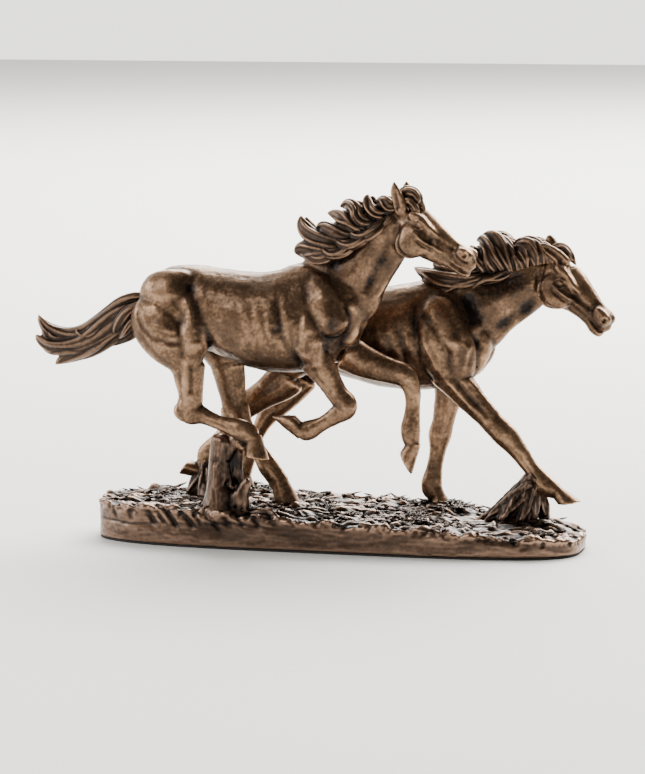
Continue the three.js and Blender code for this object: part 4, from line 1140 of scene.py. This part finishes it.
    # painted shade: negative heights darken the patina on the neck, shoulder and belly where they lie in shade; painted
    # highlights: positive heights lighten it along the nose, the shoulder, the neck and the back
    painted_shade_and_highlights = (
        Dab((100, 176), 9.0, -0.24), Dab((84, 168), 9.0, -0.23), Dab((119, 182), 7.0, -0.2),
        Dab((123, 161), 5.0, -0.23), Dab((109, 149), 6.0, -0.2), Dab((87, 156), 8.0, -0.2),
        Dab((110, 162), 24.0, -0.11), Dab((55, 150), 9.0, -0.12), Dab((30, 140), 16.0, -0.1),
        Dab((8, 135), 14.0, -0.08), Dab((95, 96), 8.0, -0.11), Dab((88, 130), 7.0, -0.1),
        Dab((158, 170), 5.0, -0.23), Dab((168, 162), 4.0, -0.15), Dab((141, 178), 5.0, -0.1),
        Dab((159, 183), 6.0, 0.26), Dab((169, 171), 5.0, 0.26), Dab((179, 161), 4.0, 0.2),
        Dab((66, 150), 5.0, 0.12), Dab((110, 163), 7.0, 0.12), Dab((-30, 150), 9.0, 0.08),
    )
    near_mane = (
        Lock(((130, 18, 190), (128.5, 16.5, 198.5), (124.4, 18, 204.8), (117.5, 22, 204.8), (113, 24, 201)), 3.6, 3.2),
        Lock(((135, 18, 191), (133.5, 17, 198), (129, 19, 204), (122, 22, 206.5), (116, 25, 204)), 3.4, 3.0),
        Lock(((140, 18, 192), (139, 17, 198), (134, 19.5, 203), (127, 22, 205)), 3.0, 2.8),
        Lock(((125, 18, 189), (123, 16.5, 196), (119, 19, 201), (112, 23, 202)), 3.4, 3.0),
        Lock(((119, 18, 187), (117, 16.5, 193), (113, 18.5, 197.5), (107, 21, 198)), 3.0, 2.8),
        Lock(((113, 18, 186), (110.5, 16, 193), (106.4, 17, 202), (101, 20, 208.5), (94, 24, 208.5), (91, 25, 205)),
             3.8, 3.2),
        Lock(((107, 18, 185), (103.5, 15.5, 194), (99, 17, 202.5), (93, 21, 207), (87.5, 24, 205.5)), 3.6, 3.2),
        Lock(((116, 18, 187), (114, 17, 195), (110, 19, 202), (105, 23, 207), (99, 26, 207.5)), 3.4, 3.0),
        Lock(((102, 19, 184), (98.5, 16, 192), (95, 17, 200), (90, 21, 205)), 3.2, 3.0),
        Lock(((98, 20, 184), (93, 17, 190), (88.5, 18, 197.5), (84, 21, 203)), 3.4, 3.0),
        Lock(((94, 20, 183), (88, 17.5, 188), (83, 19, 194.5), (80, 22, 200)), 3.2, 2.8),
        Lock(((100, 19, 184), (90, 15, 181), (78, 14.5, 177), (66.4, 16, 172.7), (61, 17, 174)), 2.8, 2.6),
        Lock(((96, 21, 188), (86, 17.5, 184.5), (76, 18, 186), (70, 20, 191)), 3.4, 3.0),
        Lock(((98, 20, 184), (82, 15, 180), (64, 17, 180), (53, 21, 183), (44, 25, 186.5)), 4.2, 3.6),
        Lock(((90, 19, 183), (76, 17, 183.5), (64, 19, 186.5), (58, 22, 191)), 3.2, 3.0),
        Lock(((84, 18, 179), (70, 16.5, 176), (58, 18, 178), (50, 21, 178.5)), 2.8, 2.6),
        Lock(((112, 17, 186), (104, 15, 182), (95, 14, 180), (86, 14.5, 174)), 2.4, 2.4),
        Lock(((118, 24, 196), (106, 25, 194), (94, 25.5, 190), (80, 26, 184)), 6.4, 5.2),
        Lock(((140, 22, 198), (132, 23, 197), (124, 24, 195), (114, 25, 192)), 5.6, 4.8),
    )
    forelock = (
        Lock(((139, 22, 199), (145, 20.5, 202), (151, 18.5, 199), (155, 17, 194)), 2.8, 2.8),
        Lock(((140, 24, 199), (146, 22.5, 201.5), (152, 20, 198), (157, 18.5, 191)), 2.6, 2.6),
        Lock(((140, 20, 200), (145, 18, 200), (150, 16.5, 196), (153, 15.5, 191)), 2.2, 2.2),
    )
    tail = (
        Lock(((-54, 26, 161), (-67, 27, 163), (-80, 28, 161), (-94, 28, 156), (-107, 28, 151), (-119, 27, 148),
              (-129, 26, 149)), 4.6, 4.2, 8),
        Lock(((-54, 24, 156), (-67, 24, 156), (-80, 24, 153), (-94, 25, 149), (-107, 25, 144), (-118, 25, 142),
              (-126, 25, 143)), 4.8, 4.2, 8),
        Lock(((-54, 29, 155), (-67, 31, 155), (-80, 32, 152), (-94, 32, 147), (-106, 31, 142), (-116, 29, 139)),
             4.8, 4.2, 8),
        Lock(((-55, 26, 151), (-68, 27, 150), (-80, 28, 146), (-92, 28, 141), (-102, 28, 137)), 4.4, 4.0, 7),
    )
    return Horse(
        "leading", mid, torso, head, ears, limbs, (86, 26, 160), (0.8, 0, 0.55), (158, 14, 174),
        strokes, dabs, face_strokes, face_dabs, painted_shade_and_highlights, both_sides(near_mane, 25.0), forelock, tail,
    )


# ---- ground ----


@dataclass(frozen=True)
class Plan:
    """The base's outline and the fall of its ground, from the rear to the front."""

    half_length: float = 168.0
    half_width: float = 52.0
    centre: float = -1.0
    power: float = 3.4
    high: float = 25.0
    fall: float = 14.0
    falls_from: float = -75.0
    falls_over: float = 243.0

    def outline(self, turns: np.ndarray, inset: np.ndarray | float = 0.0) -> tuple[np.ndarray, np.ndarray]:
        """Return the outline's x and y for each turn, set in from the edge."""
        cos, sin = np.cos(turns), np.sin(turns)
        x = np.sign(cos) * np.abs(cos) ** (2 / self.power) * (self.half_length - inset)
        y = np.sign(sin) * np.abs(sin) ** (2 / self.power) * (self.half_width - inset)
        return x + self.centre, y

    def height(self, x: np.ndarray) -> np.ndarray:
        """Return the ground's plain height at x."""
        share = np.clip((x - self.falls_from) / self.falls_over, 0.0, 1.0)
        return self.high - self.fall * share**1.4

    def inward(self, places: np.ndarray) -> np.ndarray:
        """Return 0 on the outline and 1 at the middle for each place."""
        x = np.abs((places[:, 0] - self.centre) / self.half_length)
        y = np.abs(places[:, 1] / self.half_width)
        return 1.0 - (x**self.power + y**self.power) ** (1 / self.power)


@dataclass(frozen=True)
class Mound:
    """A soft rise of the ground round a hoof or a plant."""

    place: Flat
    radius: float
    height: float


@dataclass(frozen=True)
class Ground:
    """The grassy ground: a lumpy casting and the blades that stand on it."""

    plan: Plan = Plan()
    bottom: float = 1.8
    rim: float = 2.2
    voxel: float = 1.0
    mounds: tuple[Mound, ...] = (
        Mound((-36, -13), 17, 3.4), Mound((-72, -40), 15, 3.0), Mound((-99, 12), 16, 3.0), Mound((63, 38), 17, 3.4),
        Mound((119, 12), 20, 4.0), Mound((-78, 38), 16, 3.4), Mound((146, 10), 16, 1.8), Mound((30, 20), 26, 1.6),
        Mound((-130, -10), 20, 1.4), Mound((90, -20), 24, -1.0), Mound((0, -30), 24, -0.8),
    )
    tufts: int = 62
    blades: int = 1500

    def build(self, finish: bpy.types.Material) -> None:
        """Model the casting and its grass.

        Args:
            finish: the ground's bronze.
        """
        rng = np.random.default_rng(11)
        clay = self.casting(rng)
        piece = clay.piece("ground_casting")
        fit(piece, "base_casting", finish)
        grass = self.grass(rng, clay)
        fit(grass, "base_casting", finish)

    def casting(self, rng: np.random.Generator) -> Clay:
        """Model the ground's slab with its rim, gouged wall and matted top."""
        bm = bmesh.new()
        cone = bmesh.ops.create_cone(
            bm, cap_ends=True, cap_tris=True, segments=160, radius1=1.0, radius2=1.0, depth=2.0
        )["verts"]
        unit = np.array([vert.co for vert in cone])
        turns = np.arctan2(unit[:, 1], unit[:, 0])
        x, y = self.plan.outline(turns)
        middle = np.hypot(unit[:, 0], unit[:, 1]) < 0.5
        x, y = np.where(middle, self.plan.centre, x), np.where(middle, 0.0, y)
        z = np.where(unit[:, 2] > 0, self.plan.height(x), self.bottom)
        for vert, place in zip(cone, np.stack([x, y, z], axis=1) * MM):
            vert.co = place
        for _ in range(5):
            lids = [e for e in bm.edges if e.calc_length() > 9 * MM]
            bmesh.ops.subdivide_edges(bm, edges=lids, cuts=1, use_grid_fill=False)
            bmesh.ops.triangulate(bm, faces=[f for f in bm.faces if len(f.verts) > 4])
        for vert in bm.verts:
            if vert.co.z > (self.bottom + 1.0) * MM and abs(vert.normal.z) > 0.3:
                vert.co.z = self.plan.height(np.array([vert.co.x / MM]))[0] * MM
        clay = Clay(bm, self.voxel)
        clay.smooth(6)
        self.shape(clay, rng)
        return clay

    def shape(self, clay: Clay, rng: np.random.Generator) -> None:
        """Work the clay's top, rim and wall.

        Args:
            clay: the slab.
            rng: the source of the tool marks.
        """
        flat = clay.co
        inward = self.plan.inward(flat)
        normals = clay.normals()
        top = np.clip(normals[:, 2] * 1.6 - 0.3, 0.0, 1.0)
        wall = np.clip(1.0 - np.abs(normals[:, 2]) * 1.8, 0.0, 1.0)
        lift = np.zeros(len(flat))
        for mound in self.mounds:
            far = np.linalg.norm(flat[:, :2] - np.array(mound.place), axis=1) / mound.radius
            lift += mound.height * np.exp(-(far**2))
        clay.co[:, 2] += lift * top * np.clip(inward * 9.0, 0.0, 1.0)
        clay.grain(26.0, 1.6, (1.8, 1.0, 1.0), 3.0, top)
        clay.grain(9.0, 2.6, (1.9, 1.0, 1.0), 5.0, top)
        clay.grain(3.2, 1.3, (3.2, 1.0, 1.0), 9.0, top)
        rough_rim = np.exp(-(((clay.co[:, 2] - self.plan.height(clay.co[:, 0])) / 3.2) ** 2)) * (inward < 0.08)
        clay.grain(8.0, 3.4, (1.3, 1.0, 1.0), 15.0, rough_rim)
        clay.grain(3.0, 1.5, (1.0, 1.0, 1.0), 17.0, rough_rim)
        self.scratch(clay, rng, top)
        clay.grain(13.0, 1.1, (2.2, 1.0, 0.8), 21.0, wall)
        clay.grain(2.6, 0.26, (3.0, 1.0, 0.8), 23.0, wall)
        self.gouge(clay, wall)
        clay.co[:, 2] = np.maximum(clay.co[:, 2], self.bottom)
        clay.store_patina(0.45, 1.6, -0.3 * top)

    def scratch(self, clay: Clay, rng: np.random.Generator, top: np.ndarray) -> None:
        """Press matted grass into the top: long thin ridges that cross one another."""
        places = clay.co[:, :2]
        amount = np.zeros(len(places))
        for _ in range(420):
            spot = np.array([rng.uniform(-160, 158), rng.uniform(-48, 48)])
            heading = rng.normal(0.0, 0.55) + (math.pi if rng.random() < 0.3 else 0.0)
            way = np.array([math.cos(heading), math.sin(heading)])
            across = np.array([-way[1], way[0]])
            near = np.nonzero(np.abs(places - spot).max(axis=1) < 17)[0]
            gap = places[near] - spot
            along, bow = gap @ way, rng.uniform(-0.012, 0.012)
            off = gap @ across - bow * along**2
            length, width = rng.uniform(6, 16), rng.uniform(1.0, 1.9)
            amount[near] += rng.uniform(0.7, 1.8) * np.exp(-((off / width) ** 2) - (along / length) ** 4)
        clay.push(np.minimum(amount, 2.8) * top, clay.normals())

    def gouge(self, clay: Clay, wall: np.ndarray) -> None:
        """Cut the leaf-like marks near the wall's top edge and the long crease below them."""
        normals = clay.normals()
        below = self.plan.height(clay.co[:, 0]) - clay.co[:, 2]
        cuts = np.zeros(len(below))
        for number, (x, lean, length, depth) in enumerate(WALL_MARKS):
            gap = clay.co[:, 0] - x - lean * (below - 3.0)
            size = 1.5 + 0.5 * (number % 3)
            cuts += depth * np.exp(-((gap / size) ** 2)) * np.exp(-(((below - 0.5 * length) / (0.5 * length)) ** 4))
        crease = 9.0 + 1.6 * np.sin(clay.co[:, 0] / 31.0) + 0.7 * np.sin(clay.co[:, 0] / 8.0)
        broken = 0.35 + 0.3 * np.sin(clay.co[:, 0] / 13.0)
        cuts += broken * np.exp(-(((below - crease) / 0.9) ** 2)) * np.clip((30.0 - clay.co[:, 0]) / 60.0, 0.0, 1.0)
        clay.push(-cuts * wall, normals)

    def grass(self, rng: np.random.Generator, clay: Clay) -> bpy.types.Object:
        """Set closed blades of grass over the top, thick in tufts and thin between them.

        Args:
            rng: the source of their places and leans.
            clay: the casting that they stand on.

        Returns:
            One object of many small closed blades.
        """
        grid = self.heights(clay)
        spots = [np.array([rng.uniform(-158, 156), rng.uniform(-45, 45)]) for _ in range(self.tufts)]
        spots += [np.array(mound.place) + rng.normal(0, 5.0, 2) for mound in self.mounds[:6] for _ in range(3)]
        spots += [np.array([rng.uniform(-150, 150), 47.0 - rng.uniform(0, 6)]) for _ in range(22)]
        homes = np.array(spots)[np.arange(self.blades) % len(spots)]
        homes = homes + rng.normal(0, 4.5, (self.blades, 2)) * np.array([1.5, 1.0])
        homes = homes[self.plan.inward(np.column_stack([homes, homes[:, 0]])) > 0.06]
        column = np.clip((homes[:, 0] + 170) // 4, 0, 85).astype(int)
        row = np.clip((homes[:, 1] + 54) // 4, 0, 26).astype(int)
        mesh = self.blade_bundle(rng, np.column_stack([homes, grid[column, row]]))
        values = np.full(len(mesh.vertices), 0.38)
        mesh.attributes.new(PATINA_AND_PAINTED_LIGHT, "FLOAT", "POINT").data.foreach_set("value", values)
        piece = bpy.data.objects.new("ground_grass", mesh)
        bpy.context.scene.collection.objects.link(piece)
        return piece

    @staticmethod
    def blade_bundle(rng: np.random.Generator, roots: np.ndarray) -> bpy.types.Mesh:
        """Bend one closed blade into as many as there are roots.

        Args:
            rng: the source of their leans and lengths.
            roots: where they stand.

        Returns:
            The mesh of all the blades.
        """
        bm = bmesh.new()
        bmesh.ops.create_uvsphere(bm, u_segments=5, v_segments=6, radius=1.0)
        unit = np.array([vert.co for vert in bm.verts])
        while len(bm.verts) < len(unit) * len(roots):
            bmesh.ops.duplicate(bm, geom=bm.faces)
        bm.verts.ensure_lookup_table()
        spare = [vert for vert in bm.verts[len(unit) * len(roots):]]
        bmesh.ops.delete(bm, geom=spare, context="VERTS")
        along = np.arccos(np.clip(unit[:, 2], -1.0, 1.0)) / math.pi
        turn = np.arctan2(unit[:, 1], unit[:, 0])
        count = len(roots)
        heading, lean = rng.uniform(0, 2 * math.pi, count), rng.uniform(1.15, 1.5, count)
        length, droop = rng.uniform(5.0, 12.0, count), rng.uniform(0.0, 0.3, count)
        way = np.stack([np.cos(heading) * np.sin(lean), np.sin(heading) * np.sin(lean), np.cos(lean)], axis=1)
        flat = np.stack([-np.sin(heading), np.cos(heading), 0.0 * heading], axis=1)
        thin = np.cross(way, flat)
        size = rng.uniform(0.9, 1.8, count)
        t = along[None, :, None] * 1.12 - 0.12
        middle = roots[:, None, :] + (way * length[:, None])[:, None, :] * t
        middle = middle - (droop * length)[:, None, None] * t**2 * np.array([0.0, 0.0, 1.0])
        ends = (along > 0.0) & (along < 1.0)
        full = (ends * (1.1 - 0.9 * along**2))[None, :, None] * size[:, None, None]
        places = middle + full * np.cos(turn)[None, :, None] * flat[:, None, :]
        places = places + 0.55 * full * np.sin(turn)[None, :, None] * thin[:, None, :]
        for vert, place in zip(bm.verts, places.reshape(-1, 3) * MM):
            vert.co = place
        bmesh.ops.recalc_face_normals(bm, faces=bm.faces)
        mesh = bpy.data.meshes.new("ground_grass")
        bm.to_mesh(mesh)
        bm.free()
        mesh.shade_smooth()
        return mesh

    @staticmethod
    def heights(clay: Clay) -> np.ndarray:
        """Return the top's height over a grid of 4 mm squares."""
        grid = np.full((86, 27), 8.0)
        column = np.clip((clay.co[:, 0] + 170) // 4, 0, 85).astype(int)
        row = np.clip((clay.co[:, 1] + 54) // 4, 0, 26).astype(int)
        np.maximum.at(grid, (column, row), clay.co[:, 2] - 0.9)
        return grid


WALL_MARKS = (
    (-152, 0.5, 9, 1.0), (-139, 0.4, 8, 0.8), (-124, 0.7, 11, 1.4), (-117, 0.8, 10, 1.2), (-109, 0.7, 12, 1.5),
    (-98, 0.9, 11, 1.4), (-90, 0.6, 9, 1.1), (-81, 0.9, 12, 1.4), (-70, 0.7, 10, 1.2), (-60, 0.8, 9, 1.0),
    (-48, 0.6, 8, 1.0), (-36, 0.9, 7, 0.8), (-22, 0.4, 6, 0.8), (-6, 0.7, 5, 0.7), (14, -0.5, 5, 0.6),
    (38, 0.6, 5, 0.6), (62, -0.4, 5, 0.7), (84, 0.5, 4, 0.6), (104, -0.6, 4, 0.7), (128, 0.4, 4, 0.6),
    (146, -0.5, 4, 0.7),
)


@dataclass(frozen=True)
class Growth:
    """A stump, a brush or a tuft that joins a leg to the ground."""

    node: str
    masses: tuple[Mass, ...]
    strands: tuple[Lock, ...]
    dabs: tuple[Dab, ...] = ()
    # painted shade and painted highlights: round places where the patina is made darker or lighter
    painted_shade_and_highlights: tuple[Dab, ...] = ()
    voxel: float = 0.6
    bark: float = 0.8
    bias: float = 0.0
    seed: float = 2.0

    def build(self, finish: bpy.types.Material) -> None:
        """Model the growth and dress it.

        Args:
            finish: the ground's bronze.
        """
        rng = np.random.default_rng(int(self.seed * 10))
        bm = bmesh.new()
        for mass in self.masses:
            mass.add_to(bm)
        for strand in self.strands:
            strand.add_to(bm, rng)
        clay = Clay(bm, self.voxel, self.masses[0].spine[0][1])
        clay.smooth(6)
        clay.touch(self.dabs)
        clay.grain(3.2, self.bark, (1.0, 1.0, 4.0), self.seed)
        clay.grain(1.4, self.bark * 0.5, (1.0, 1.0, 3.0), self.seed + 4)
        # the patina takes the painted shade and painted highlights as part of its bias
        clay.store_patina(0.35, 1.4, self.bias + clay.paint_shade_and_highlights(self.painted_shade_and_highlights))
        piece = clay.piece(f"{self.node}_bronze")
        fit(piece, self.node, finish)


STUMP = Growth(
    "stump_support",
    (
        Mass(((-75, -40, 16, 20, 10.5), (-75, -40, 24, 17, 10.5), (-75, -40, 31, 12, 9.6), (-75, -40, 42, 9, 8.4),
              (-75.5, -40, 54, 7.4, 7.2), (-74.5, -40, 66, 7.4, 6.6), (-71, -41, 77, 9.4, 6.4)),
             blunt=0.08, rings=40),
        Mass(((-65, -41, 15, 12, 8), (-63, -42, 26, 9, 6), (-61, -42, 36, 7, 4.6), (-57, -42, 43, 4.4, 3),
              (-54.6, -42, 48, 1.6, 1.6)), blunt=0.06),
        Mass(((-65, -36, 28, 8, 4), (-65.5, -35.5, 42, 6, 3.6), (-65.5, -36, 56, 5, 3.4), (-64, -38, 70, 6, 3.6))),
        Mass(((-72, -41, 60, 4.4, 4.2), (-67, -41, 69, 4.6, 4), (-62.5, -41, 75.5, 5, 4)), blunt=0.08),
    ),
    (
        Lock(((-78, -42, 34), (-81, -44, 26), (-86, -46, 20), (-90, -47, 17)), 4.0, 4.0, 2),
        Lock(((-74, -37, 34), (-78, -34, 26), (-84, -32, 20)), 4.0, 4.0, 2),
        Lock(((-62, -40, 30), (-57, -41, 23), (-51, -42, 19)), 4.0, 4.0, 2),
        Lock(((-80, -43, 20), (-77, -46, 34), (-76, -46, 50), (-76, -44, 66)), 1.6, 1.6, 2),
    ),
    dabs=(Dab((-66, 43), 3.6, -3.2, -1), Dab((-61, 27), 4.0, -1.6, -1), Dab((-76, 60), 3.0, -1.2, -1)),
    # painted shade: the stump's back, which lies in shadow, is darkened
    painted_shade_and_highlights=(Dab((-63, 58), 6.5, -0.4), Dab((-62, 44), 6.0, -0.3), Dab((-66, 31), 5.0, -0.2)),
    bark=0.42, seed=2.0,
)
BRUSH = Growth(
    "brush_support",
    (
        Mass(((114, 12, 8, 20, 13), (117, 12, 19, 15, 11), (121.5, 12, 31, 9.5, 7.5), (127.5, 11.5, 43, 7, 5.8),
              (133, 11, 50, 5.4, 4.6)), blunt=0.06, rings=36),
    ),
    (
        Lock(((130, 8, 45), (119, 6, 34), (108, 4, 24), (97, 2, 16)), 3.6, 3.4, 10),
        Lock(((131, 9, 44), (123, 5.5, 32), (118, 3, 20), (114, 1, 12)), 3.4, 3.2, 9),
        Lock(((133, 9, 44), (128, 6, 33), (124, 3, 21), (121, 1, 11)), 3.4, 3.2, 9),
        Lock(((130, 11, 46), (121, 11, 38), (110, 10, 26), (97, 8, 17), (86, 6, 13)), 4.0, 3.8, 10),
        Lock(((128, 14, 42), (118, 16, 32), (106, 18, 21), (96, 20, 14)), 3.8, 3.6, 10),
        Lock(((128, 8, 42), (121, 4, 32), (113, 1, 21), (107, -1, 13)), 3.8, 3.6, 10),
        Lock(((131, 11, 44), (131, 8, 32), (129, 6, 20), (128, 4, 11)), 3.6, 3.4, 9),
        Lock(((131, 13, 43), (135, 15, 31), (137, 17, 20), (138, 18, 11)), 3.6, 3.4, 9),
        Lock(((128, 12, 38), (125, 18, 26), (122, 23, 15)), 3.8, 3.6, 9),
    ),
    bark=0.5, bias=-0.16, seed=5.0,
)
REAR_TUFT = Growth(
    "rear_tuft",
    (Mass(((-98, 12, 14, 12, 9), (-99, 12, 26, 8, 7), (-100, 12.5, 40, 5.4, 5), (-99, 13, 53, 4, 4)), blunt=0.07),),
    (
        Lock(((-100, 12, 50), (-104, 11, 38), (-109, 9, 26), (-115, 7, 17)), 4.0, 3.8, 6),
        Lock(((-98, 14, 48), (-94, 17, 35), (-90, 21, 24), (-86, 24, 17)), 4.0, 3.8, 6),
        Lock(((-100, 10, 46), (-99, 5, 33), (-97, 0, 22), (-95, -3, 16)), 3.8, 3.6, 6),
        Lock(((-98, 12, 44), (-92, 12, 32), (-86, 11, 22), (-80, 10, 17)), 3.8, 3.6, 6),
    ),
    bark=0.5, bias=-0.16, seed=8.0,
)


# ---- stage ----


@dataclass(frozen=True)
class Stage:
    """The plain floor, the soft lamps and the camera."""

    azimuth: float = 14.0
    elevation: float = 7.5
    distance: float = 2300.0
    target: Point = (-13.7, 0.0, 105.8)
    lens: float = 157.256
    sky: Point = (0.96, 0.95, 0.91)
    floor: Point = (0.86, 0.85, 0.82)
    dim: float = 0.12
    bright: float = 2.4
    bright_side: Point = (-0.35, 0.94, 0.0)

    def build(self) -> None:
        """Lay the floor, light it and set the camera."""
        pieces = [self.ground(), self.camera()]
        pieces += [
            self.lamp("key", (1500, 900, 1700), 900.0, 34.0, (1.0, 0.97, 0.92)),
            self.lamp("front", (-1500, -2000, 1400), 1300.0, 24.0, (1.0, 0.97, 0.93)),
            self.lamp("left", (-2200, -700, 800), 1000.0, 26.0, (0.93, 0.96, 1.0)),
            self.lamp("back", (300, 1900, 1100), 1100.0, 14.0, (1.0, 0.98, 0.95)),
            self.lamp("floor", (300, 3600, 2600), 4200.0, 700.0, (1.0, 0.99, 0.96), (0.0, 3400.0, 0.0)),
        ]
        self.room()

    def room(self) -> None:
        """Light the scene from all round: bright behind the statue, dim in front of it."""
        world = bpy.data.worlds.new("room")
        world.use_nodes = True
        nodes, links = world.node_tree.nodes, world.node_tree.links
        sky = nodes["Background"]
        sky.inputs["Color"].default_value = (*self.sky, 1.0)
        place = nodes.new("ShaderNodeTexCoord")
        side = nodes.new("ShaderNodeVectorMath")
        side.operation = "DOT_PRODUCT"
        side.inputs[1].default_value = self.bright_side
        links.new(place.outputs["Generated"], side.inputs[0])
        strength = nodes.new("ShaderNodeMapRange")
        strength.interpolation_type = "SMOOTHSTEP"
        strength.inputs["From Min"].default_value = -0.35
        strength.inputs["From Max"].default_value = 0.85
        strength.inputs["To Min"].default_value = self.dim
        strength.inputs["To Max"].default_value = self.bright
        links.new(side.outputs["Value"], strength.inputs["Value"])
        links.new(strength.outputs["Result"], sky.inputs["Strength"])
        bpy.context.scene.world = world

    def ground(self) -> bpy.types.Object:
        """Return the pale floor."""
        bm = bmesh.new()
        bmesh.ops.create_grid(bm, x_segments=1, y_segments=1, size=9.0)
        mesh = bpy.data.meshes.new("floor")
        bm.to_mesh(mesh)
        bm.free()
        material = bpy.data.materials.new("floor")
        material.use_nodes = True
        shader = material.node_tree.nodes["Principled BSDF"]
        shader.inputs["Base Color"].default_value = (*self.floor, 1.0)
        shader.inputs["Roughness"].default_value = 0.85
        mesh.materials.append(material)
        piece = bpy.data.objects.new("floor", mesh)
        bpy.context.scene.collection.objects.link(piece)
        return piece

    def camera(self) -> bpy.types.Object:
        """Return the camera, low and a little to the front."""
        turn, rise = math.radians(self.azimuth), math.radians(self.elevation)
        back = Vector((math.sin(turn) * math.cos(rise), -math.cos(turn) * math.cos(rise), math.sin(rise)))
        data = bpy.data.cameras.new("camera")
        data.lens = self.lens
        data.sensor_width = 36.0
        data.clip_end = 50.0
        piece = bpy.data.objects.new("camera", data)
        piece.location = (Vector(self.target) + back * self.distance) * MM
        piece.rotation_euler = back.to_track_quat("Z", "Y").to_euler()
        bpy.context.scene.collection.objects.link(piece)
        bpy.context.scene.camera = piece
        return piece

    def lamp(self, name: str, place: Point, size: float, power: float, colour: Point,
             target: Point | None = None) -> bpy.types.Object:
        """Return a soft square lamp that faces the statue.

        Args:
            name: the lamp's name.
            place: where it hangs.
            size: its side.
            power: watts.
            colour: its light.
            target: where it shines, or None for the statue.
        """
        data = bpy.data.lights.new(name, "AREA")
        data.shape = "SQUARE"
        data.size = size * MM
        data.energy = power
        data.color = colour
        piece = bpy.data.objects.new(name, data)
        piece.location = Vector(place) * MM
        aim = Vector(place) - Vector(target or self.target)
        piece.rotation_euler = aim.to_track_quat("Z", "Y").to_euler()
        bpy.context.scene.collection.objects.link(piece)
        return piece


# ---- fixings and felt ----


@dataclass(frozen=True)
class Fixings:
    """The felt, the cover board and the steel fixings, whose castings' shapes are right as they are."""

    felt: Plain = FELT
    board: Plain = BOARD
    steel: Plain = STEEL
    footings: tuple[str, ...] = (
        "trailing_left_hind", "stump", "rear_tuft", "leading_left_fore", "brush", "leading_left_hind",
    )

    def build(self) -> None:
        """Give the nodes their finishes."""
        self.dress("base_felt", self.felt.make())
        self.dress("base_cover", self.board.make())
        steel = self.steel.make()
        for number in (1, 2, 3, 4):
            self.dress(f"cover_screw_{number}", steel)
        for footing in self.footings:
            for kind in ("stud", "washer", "nut"):
                self.dress(f"{footing}_{kind}", steel)

    @staticmethod
    def dress(node: str, material: bpy.types.Material) -> None:
        """Give one node a finish."""
        for slot in bpy.data.objects[node].material_slots:
            slot.material = material


def main() -> None:
    """Build the statue and its stage."""
    logging.basicConfig(level=logging.INFO, format="%(message)s")
    skin, hair, earth = HORSE_BRONZE.make(), HAIR_BRONZE.make(), GROUND_BRONZE.make()
    Ground().build(earth)
    for growth in (STUMP, BRUSH, REAR_TUFT):
        growth.build(earth)
    for horse in (trailing_horse(), leading_horse()):
        horse.build(skin, hair)
    Fixings().build()
    Stage().build()


if __name__ == "__main__":
    main()
